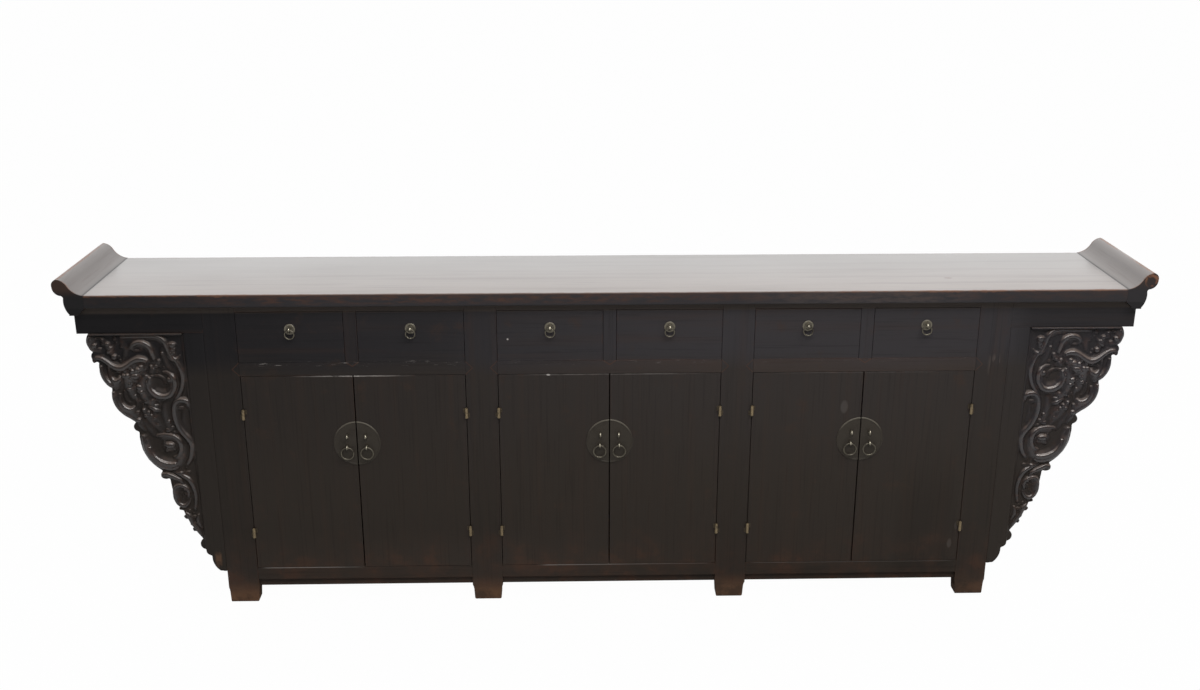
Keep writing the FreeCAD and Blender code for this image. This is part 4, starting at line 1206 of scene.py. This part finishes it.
class COFFER_OT_body(bpy.types.Operator):
    """Make the legs, rails, dividers and frieze boards, and finish the solids inside."""

    bl_idname = "coffer.body"
    bl_label = "Legs, rails and boards"

    def leg(self, name, middle, near, far, sizes):
        """A leg whose foot narrows bit by bit to the floor."""
        half, deep = LEG_WIDTH / 2, (far - near) / 2
        piece = block(name, (middle - half, near, FOOT_TOP), (middle + half, far, LEG_TOP))
        select_part(piece, "VERT", lambda point: point.z < FOOT_TOP + HAIR)
        outer = round(middle)
        height, wide, long, centre = FOOT_TOP, half, deep, middle
        for low, inset in FOOT_ROWS:
            narrowed = half - inset * (1 - abs(outer) * END_FOOT_SHIFT)
            shift = middle + outer * inset * END_FOOT_SHIFT - centre
            bpy.ops.mesh.extrude_region_move(TRANSFORM_OT_translate={"value": (shift, 0, low - height)})
            bpy.ops.transform.resize(value=(narrowed / wide, (deep - inset) / long, 1))
            height, wide, long, centre = low, narrowed, deep - inset, centre + shift
        bpy.ops.object.mode_set(mode="OBJECT")
        return planed(piece, lacquer(2), sizes.arris)

    def rails(self, name, rows, sizes):
        """The same rails, as rows of (low, high, near, far), in each of the three bays."""
        parts = []
        for bay, middle in enumerate(BAY_MIDDLES):
            for row, (low, high, near, far) in enumerate(rows):
                corners = (middle - BAY_HALF, near, low), (middle + BAY_HALF, far, high)
                parts.append(board(f"{name}_{bay}_{row}", *corners, lacquer(0), sizes.arris))
        return joined(name, parts)

    def frieze(self, side, sizes):
        """The front, back and end boards under the overhang on one side."""
        outer, under = FRIEZE_END, TOP_HIGH[2] - FLANGE_DROP
        shape = [
            (OUTER_LEG, FRIEZE_FOOT), (outer, FRIEZE_FOOT), (outer, under),
            (TOP_HIGH[0] + FLANGE_CORNERS[1][0] * FLANGE_REACH, under), (TOP_HIGH[0], TOP_LOW[2]),
            (OUTER_LEG, TOP_LOW[2]),
        ]
        shape = [(side * x, z) for x, z in shape]
        parts = []
        for name, near in (("front", FRONT), ("back", BACK - FRIEZE_THICKNESS)):
            piece = sawn(f"frieze_{name}", shape, near, near + FRIEZE_THICKNESS)
            parts.append(planed(piece, lacquer(0), FINE_ARRIS, 2))
        ends = sorted((side * outer, side * (outer - FRIEZE_THICKNESS)))
        low = (ends[0], FRONT + FRIEZE_THICKNESS, FRIEZE_FOOT)
        high = (ends[1], BACK - FRIEZE_THICKNESS, under)
        return parts + [board("frieze_end", low, high, lacquer(1), sizes.arris)]

    def execute(self, context):
        sizes = context.scene.coffer_sizes
        for name, near, far in (("front", FRONT, LEG_BACK), ("back", -LEG_BACK, BACK)):
            legs = [self.leg(f"{name}_posts_{i}", middle, near, far, sizes) for i, middle in enumerate(LEG_MIDDLES)]
            fit(joined(f"{name}_posts", legs), "carcass", LACQUER_SLOT, f"{name}_legs")
        apron_face = FRONT + APRON_BACK_FROM_FACE
        front = [(*rail, FRONT, LEG_BACK) for rail in (TOP_RAIL, MIDDLE_RAIL, BOTTOM_RAIL)]
        front.append((*APRON, apron_face, apron_face + APRON_THICKNESS))
        back = [
            (*TOP_RAIL, -LEG_BACK, BACK), (*MIDDLE_RAIL, -LEG_BACK, BACK_RAIL_BACK),
            (APRON[0], BOTTOM_RAIL[1], -LEG_BACK, BACK),
        ]
        fit(self.rails("front_bars", front, sizes), "carcass", LACQUER_SLOT, "front_rails")
        fit(self.rails("back_bars", back, sizes), "carcass", LACQUER_SLOT, "back_rails")
        parts = []
        for bay, middle in enumerate(BAY_MIDDLES):
            low = (middle - DIVIDER_HALF, FRONT, MIDDLE_RAIL[1])
            high = (middle + DIVIDER_HALF, LEG_BACK, TOP_RAIL[0])
            parts.append(board(f"upright_{bay}", low, high, lacquer(2), sizes.arris))
        fit(joined("drawer_uprights", parts), "carcass", LACQUER_SLOT, "drawer_dividers")
        friezes = self.frieze(-1, sizes) + self.frieze(1, sizes)
        fit(joined("overhang_friezes", friezes), "carcass", LACQUER_SLOT, "frieze_boards")
        repaint("cross_rails", lacquer(1, edges=False))
        for node in ("end_panels_and_partitions", "back_panels"):
            repaint(node, lacquer(2, edges=False))
        for node in ("cupboard_floors", "dust_boards"):
            repaint(node, bare_wood(0))
        repaint("drawer_runners", bare_wood(1))
        return {"FINISHED"}


class COFFER_OT_spandrels(bpy.types.Operator):
    """Carve the two spandrels under the overhang."""

    bl_idname = "coffer.spandrels"
    bl_label = "Carved spandrels"

    def execute(self, context):
        sizes = context.scene.coffer_sizes
        shape = outline(spandrel_place, SPANDREL_START, SPANDREL_ARCS, ((0, 1), (0, 0)), 8)
        edge = -OUTER_LEG - CARVED_MARGIN
        margin = [(edge, FRIEZE_FOOT), (edge, FRIEZE_FOOT - CARVED_MARGIN_FOOT)]
        margin += [point for point in shape if point[0] > edge]
        bands = [[(out, down, half * BAND_SHARE) for out, down, half in band] for band in CARVED_BANDS]
        bands += [CARVED_FILLET] + [bead_run(*bead) for bead in CARVED_BEADS]
        parts = [
            swelled("ground", shape), sawn("margin", margin, SPANDREL_FACE, SPANDREL_BACK), relief("bands", bands),
        ]
        left = joined("carved_spandrel_left", parts)
        apply(left, "REMESH", mode="VOXEL", voxel_size=sizes.carving_grain)
        apply(left, "SMOOTH", factor=0.5, iterations=7)
        apply(left, "DECIMATE", ratio=0.45)
        take(left)
        bpy.ops.object.shade_smooth()
        first, last, depth = (value / 1000 for value in CARVED_LEDGE)
        low = (-OUTER_LEG - last, LEDGE_FACE, FRIEZE_FOOT - depth)
        ledge = block("ledge", low, (-OUTER_LEG - first, GROUND_FACE + 0.002, FRIEZE_FOOT))
        ease(ledge, 0.0008, 3)
        left = joined("carved_spandrel_left", [left, ledge])
        left.data.materials.clear()
        coat(carving_lacquer(), left)
        right = copy_of(left, "carved_spandrel_right", left_for_right=True)
        fit(left, "carcass", LACQUER_SLOT, "spandrel_left")
        fit(right, "carcass", LACQUER_SLOT, "spandrel_right")
        return {"FINISHED"}


class COFFER_OT_drawers(bpy.types.Operator):
    """Make the six drawer fronts and finish the drawer boxes."""

    bl_idname = "coffer.drawers"
    bl_label = "Drawers"

    def execute(self, context):
        sizes = context.scene.coffer_sizes
        for number in range(1, 7):
            body = f"drawer_{number}"
            piece = board(f"{body}_face", *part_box(f"{body}_front"), lacquer(0), sizes.panel_arris)
            fit(piece, body, LACQUER_SLOT, f"{body}_front")
            repaint(f"{body}_box", bare_wood(1))
        return {"FINISHED"}


class COFFER_OT_doors(bpy.types.Operator):
    """Make the six doors with their battens."""

    bl_idname = "coffer.doors"
    bl_label = "Doors"

    def execute(self, context):
        sizes = context.scene.coffer_sizes
        for number in range(1, 7):
            body = f"door_{number}"
            low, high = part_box(f"{body}_panel")
            parts = [board("leaf", low, (high[0], LEAF_BACK, high[2]), lacquer(2), sizes.panel_arris)]
            for foot in BATTEN_FEET:
                near = (low[0] + BATTEN_SHORT, LEAF_BACK, foot)
                far = (high[0] - BATTEN_SHORT, high[1], foot + BATTEN_HEIGHT)
                parts.append(board("batten", near, far, lacquer(0), sizes.arris))
            fit(joined(f"{body}_leaf", parts), body, LACQUER_SLOT, f"{body}_panel")
        return {"FINISHED"}


class COFFER_OT_drawer_pulls(bpy.types.Operator):
    """Make the drawers' round plates, eyes and drop rings."""

    bl_idname = "coffer.drawer_pulls"
    bl_label = "Drawer pulls"

    def execute(self, context):
        sizes = context.scene.coffer_sizes
        for number in range(1, 7):
            body = f"drawer_{number}"
            low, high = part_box(f"{body}_pull")
            x = (low[0] + high[0]) / 2
            height = eye_height(f"{body}_ring", sizes.drawer_ring)
            disc = plate("disc", PULL_RADIUS, sizes)
            disc.location = (x, 0, PULL_HEIGHT)
            take(disc)
            bpy.ops.object.transform_apply(location=True, rotation=False, scale=False)
            ease(disc, 0.0003)
            coat(aged_brass("fitting"), disc)
            piece = joined(f"{body}_plate", [disc] + eye("eye", x, height, PULL_EYE_WIDTH))
            fit(piece, body, BRASS_SLOT, f"{body}_pull")
            hoop = ring(f"{body}_hoop", x, height, sizes.drawer_ring, sizes.drawer_wire)
            fit(hoop, f"{body}_ring_body", BRASS_SLOT, f"{body}_ring")
        return {"FINISHED"}


class COFFER_OT_door_brasses(bpy.types.Operator):
    """Make the doors' split plates, staples, eyes, drop rings and hinges."""

    bl_idname = "coffer.door_brasses"
    bl_label = "Door brasses"

    def half_plate(self, whole, seam, side):
        """One half of the round plate, sawn at the seam."""
        piece = copy_of(whole, "half_plate", (seam, 0, PLATE_HEIGHT))
        edit()
        bpy.ops.mesh.bisect(
            plane_co=(seam + side * SEAM_HALF, 0, 0), plane_no=(side, 0, 0), use_fill=True, clear_inner=True
        )
        bpy.ops.object.mode_set(mode="OBJECT")
        ease(piece, 0.0003)
        coat(aged_brass("plate"), piece)
        return piece

    def hinge_half(self, axis, toward, low, high, pin):
        """A leaf with its knuckle, toward one side of the axis."""
        middle, tall = (low + high) / 2, high - low
        knuckle = rod("knuckle", 28, KNUCKLE_RADIUS, tall, (axis, HINGE_AXIS_DEPTH, middle), 0.0005)
        ends = sorted(axis + toward * out for out in HINGE_LEAF)
        leaf = block("hinge_leaf", (ends[0], FRONT - HINGE_LEAF_THICKNESS, low), (ends[1], FRONT, high))
        ease(leaf, 0.0004)
        parts = [knuckle, leaf]
        for share in RIVET_SHARES:
            put_down()
            bpy.ops.mesh.primitive_uv_sphere_add(
                segments=12, ring_count=6, radius=RIVET_RADIUS,
                location=(axis + toward * RIVET_OUT, FRONT - 0.0010, low + share * tall),
            )
            parts.append(settle("rivet"))
            bpy.ops.object.shade_smooth()
        if pin:
            place = (axis, HINGE_AXIS_DEPTH, high + PIN_RAISED)
            parts.append(rod("hinge_pin", 16, PIN_RADIUS, PIN_LENGTH, place, 0.0006))
        coat(aged_brass("hinge"), *parts)
        return parts

    def execute(self, context):
        sizes = context.scene.coffer_sizes
        whole = plate("whole_plate", PLATE_RADIUS, sizes)
        fixed = []
        for number in range(1, 7):
            body = f"door_{number}"
            side = -1 if number % 2 else 1
            seam = BAY_MIDDLES[(number - 1) // 2]
            low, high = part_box(f"{body}_panel")
            height = eye_height(f"{body}_ring", sizes.door_ring)
            parts = [self.half_plate(whole, seam, side)]
            parts += eye("staple", seam + side * STAPLE_OUT, STAPLE_HEIGHT, STAPLE_WIDTH)
            parts += eye("eye", seam + side * DOOR_EYE_OUT, height, DOOR_EYE_WIDTH)
            axis = (high[0] + HINGE_AXIS_OUT) if side > 0 else (low[0] - HINGE_AXIS_OUT)
            for middle in HINGE_HEIGHTS:
                parts += self.hinge_half(axis, -side, middle + HINGE_PLAY, middle + HINGE_HALF, False)
                fixed += self.hinge_half(axis, side, middle - HINGE_HALF, middle - HINGE_PLAY, True)
            fit(joined(f"{body}_brasses", parts), body, BRASS_SLOT, f"{body}_brass")
            hoop = ring(f"{body}_hoop", seam + side * DOOR_EYE_OUT, height, sizes.door_ring, sizes.door_wire)
            fit(hoop, f"{body}_ring_body", BRASS_SLOT, f"{body}_ring")
        fit(joined("leg_hinge_halves", fixed), "carcass", BRASS_SLOT, "hinge_frame_leaves")
        take(whole)
        bpy.ops.object.delete()
        return {"FINISHED"}


class COFFER_OT_stage(bpy.types.Operator):
    """Set up the pale floor, the studio light and the camera."""

    bl_idname = "coffer.stage"
    bl_label = "Studio"

    def floor(self, colours):
        """A pale floor that the camera sees as white, apart from the shadow."""
        put_down()
        bpy.ops.mesh.primitive_plane_add(size=60)
        floor = settle("studio_floor")
        material = bpy.data.materials.new("studio_floor")
        finish = Finish(material)
        paint = finish.node("ShaderNodeBsdfDiffuse", {}, {"Color": colours.floor})[0]
        white = finish.node("ShaderNodeEmission", {}, {"Color": WHITE, "Strength": 1.0})[0]
        seen = finish.node("ShaderNodeLightPath")[0]
        mix = finish.node("ShaderNodeMixShader", {}, {0: seen * WHITE_TO_CAMERA, 1: paint, 2: white})[0]
        finish.node("ShaderNodeOutputMaterial", {}, {"Surface": mix})
        coat(material, floor)

    def world(self, scene):
        """White to the camera; to the object, a dim room in front and a pale wall behind."""
        scene.world = bpy.data.worlds.new("studio")
        sky = Finish(scene.world)
        behind = sky.parts(sky.node("ShaderNodeTexCoord")[0])[1].rise(-0.35, 0.45)
        level = DARK_ROOM_IN_FRONT + behind * (PALE_WALL_BEHIND - DARK_ROOM_IN_FRONT)
        strength = level + sky.node("ShaderNodeLightPath")[0] * (1 - level)
        background = sky.node("ShaderNodeBackground", {}, {"Color": WHITE, "Strength": strength})[0]
        sky.node("ShaderNodeOutputWorld", {}, {"Surface": background})

    def softbox(self, name, place, aim, wide, high, radiance):
        """A soft panel of light of this radiance, unseen by the camera."""
        put_down()
        turn = (Vector(aim) - Vector(place)).to_track_quat("-Z", "Y").to_euler()
        bpy.ops.object.light_add(type="AREA", location=place, rotation=turn)
        lamp = bpy.context.object
        lamp.name = name
        lamp.data.shape = "RECTANGLE"
        lamp.data.size = wide
        lamp.data.size_y = high
        lamp.data.energy = radiance * math.pi * wide * high
        lamp.visible_camera = False

    def camera(self, scene):
        """The camera where the photograph was taken from."""
        bpy.ops.object.camera_add(location=CAMERA_PLACE)
        camera = bpy.context.object
        camera.name = "camera"
        turn, tilt, roll = (math.radians(angle) for angle in CAMERA_ANGLES)
        turned = Matrix.Rotation(turn, 3, "Z") @ Matrix.Rotation(tilt, 3, "X") @ Matrix.Rotation(roll, 3, "Z")
        camera.rotation_euler = turned.to_euler()
        camera.data.sensor_width = 36
        camera.data.lens = CAMERA_LENS
        scene.camera = camera

    def execute(self, context):
        scene = context.scene
        scene.view_settings.view_transform = "Standard"
        self.floor(scene.coffer_colours)
        self.world(scene)
        for panel in SOFTBOXES:
            self.softbox(*panel)
        self.camera(scene)
        return {"FINISHED"}


class COFFER_PT_panel(bpy.types.Panel):
    """Lists the steps and the sizes and colours that they use."""

    bl_idname = "COFFER_PT_panel"
    bl_label = "Altar coffer"
    bl_space_type = "VIEW_3D"
    bl_region_type = "UI"
    bl_category = "Coffer"

    def draw(self, context):
        layout = self.layout
        for step in STEPS:
            layout.operator(step.bl_idname)
        for group in (context.scene.coffer_sizes, context.scene.coffer_colours):
            column = layout.column()
            for name in group.__annotations__:
                column.prop(group, name)


STEPS = (
    COFFER_OT_stage, COFFER_OT_top, COFFER_OT_body, COFFER_OT_drawers, COFFER_OT_doors, COFFER_OT_drawer_pulls,
    COFFER_OT_door_brasses, COFFER_OT_spandrels,
)
CLASSES = (CofferSizes, CofferColours) + STEPS + (COFFER_PT_panel,)


def register():
    for item in CLASSES:
        bpy.utils.register_class(item)
    bpy.types.Scene.coffer_sizes = PointerProperty(type=CofferSizes)
    bpy.types.Scene.coffer_colours = PointerProperty(type=CofferColours)


def unregister():
    del bpy.types.Scene.coffer_colours
    del bpy.types.Scene.coffer_sizes
    for item in reversed(CLASSES):
        bpy.utils.unregister_class(item)


def main():
    register()
    for step in (
        bpy.ops.coffer.stage, bpy.ops.coffer.top, bpy.ops.coffer.body, bpy.ops.coffer.drawers, bpy.ops.coffer.doors,
        bpy.ops.coffer.drawer_pulls, bpy.ops.coffer.door_brasses, bpy.ops.coffer.spandrels,
    ):
        step()


if __name__ == "__main__":
    main()
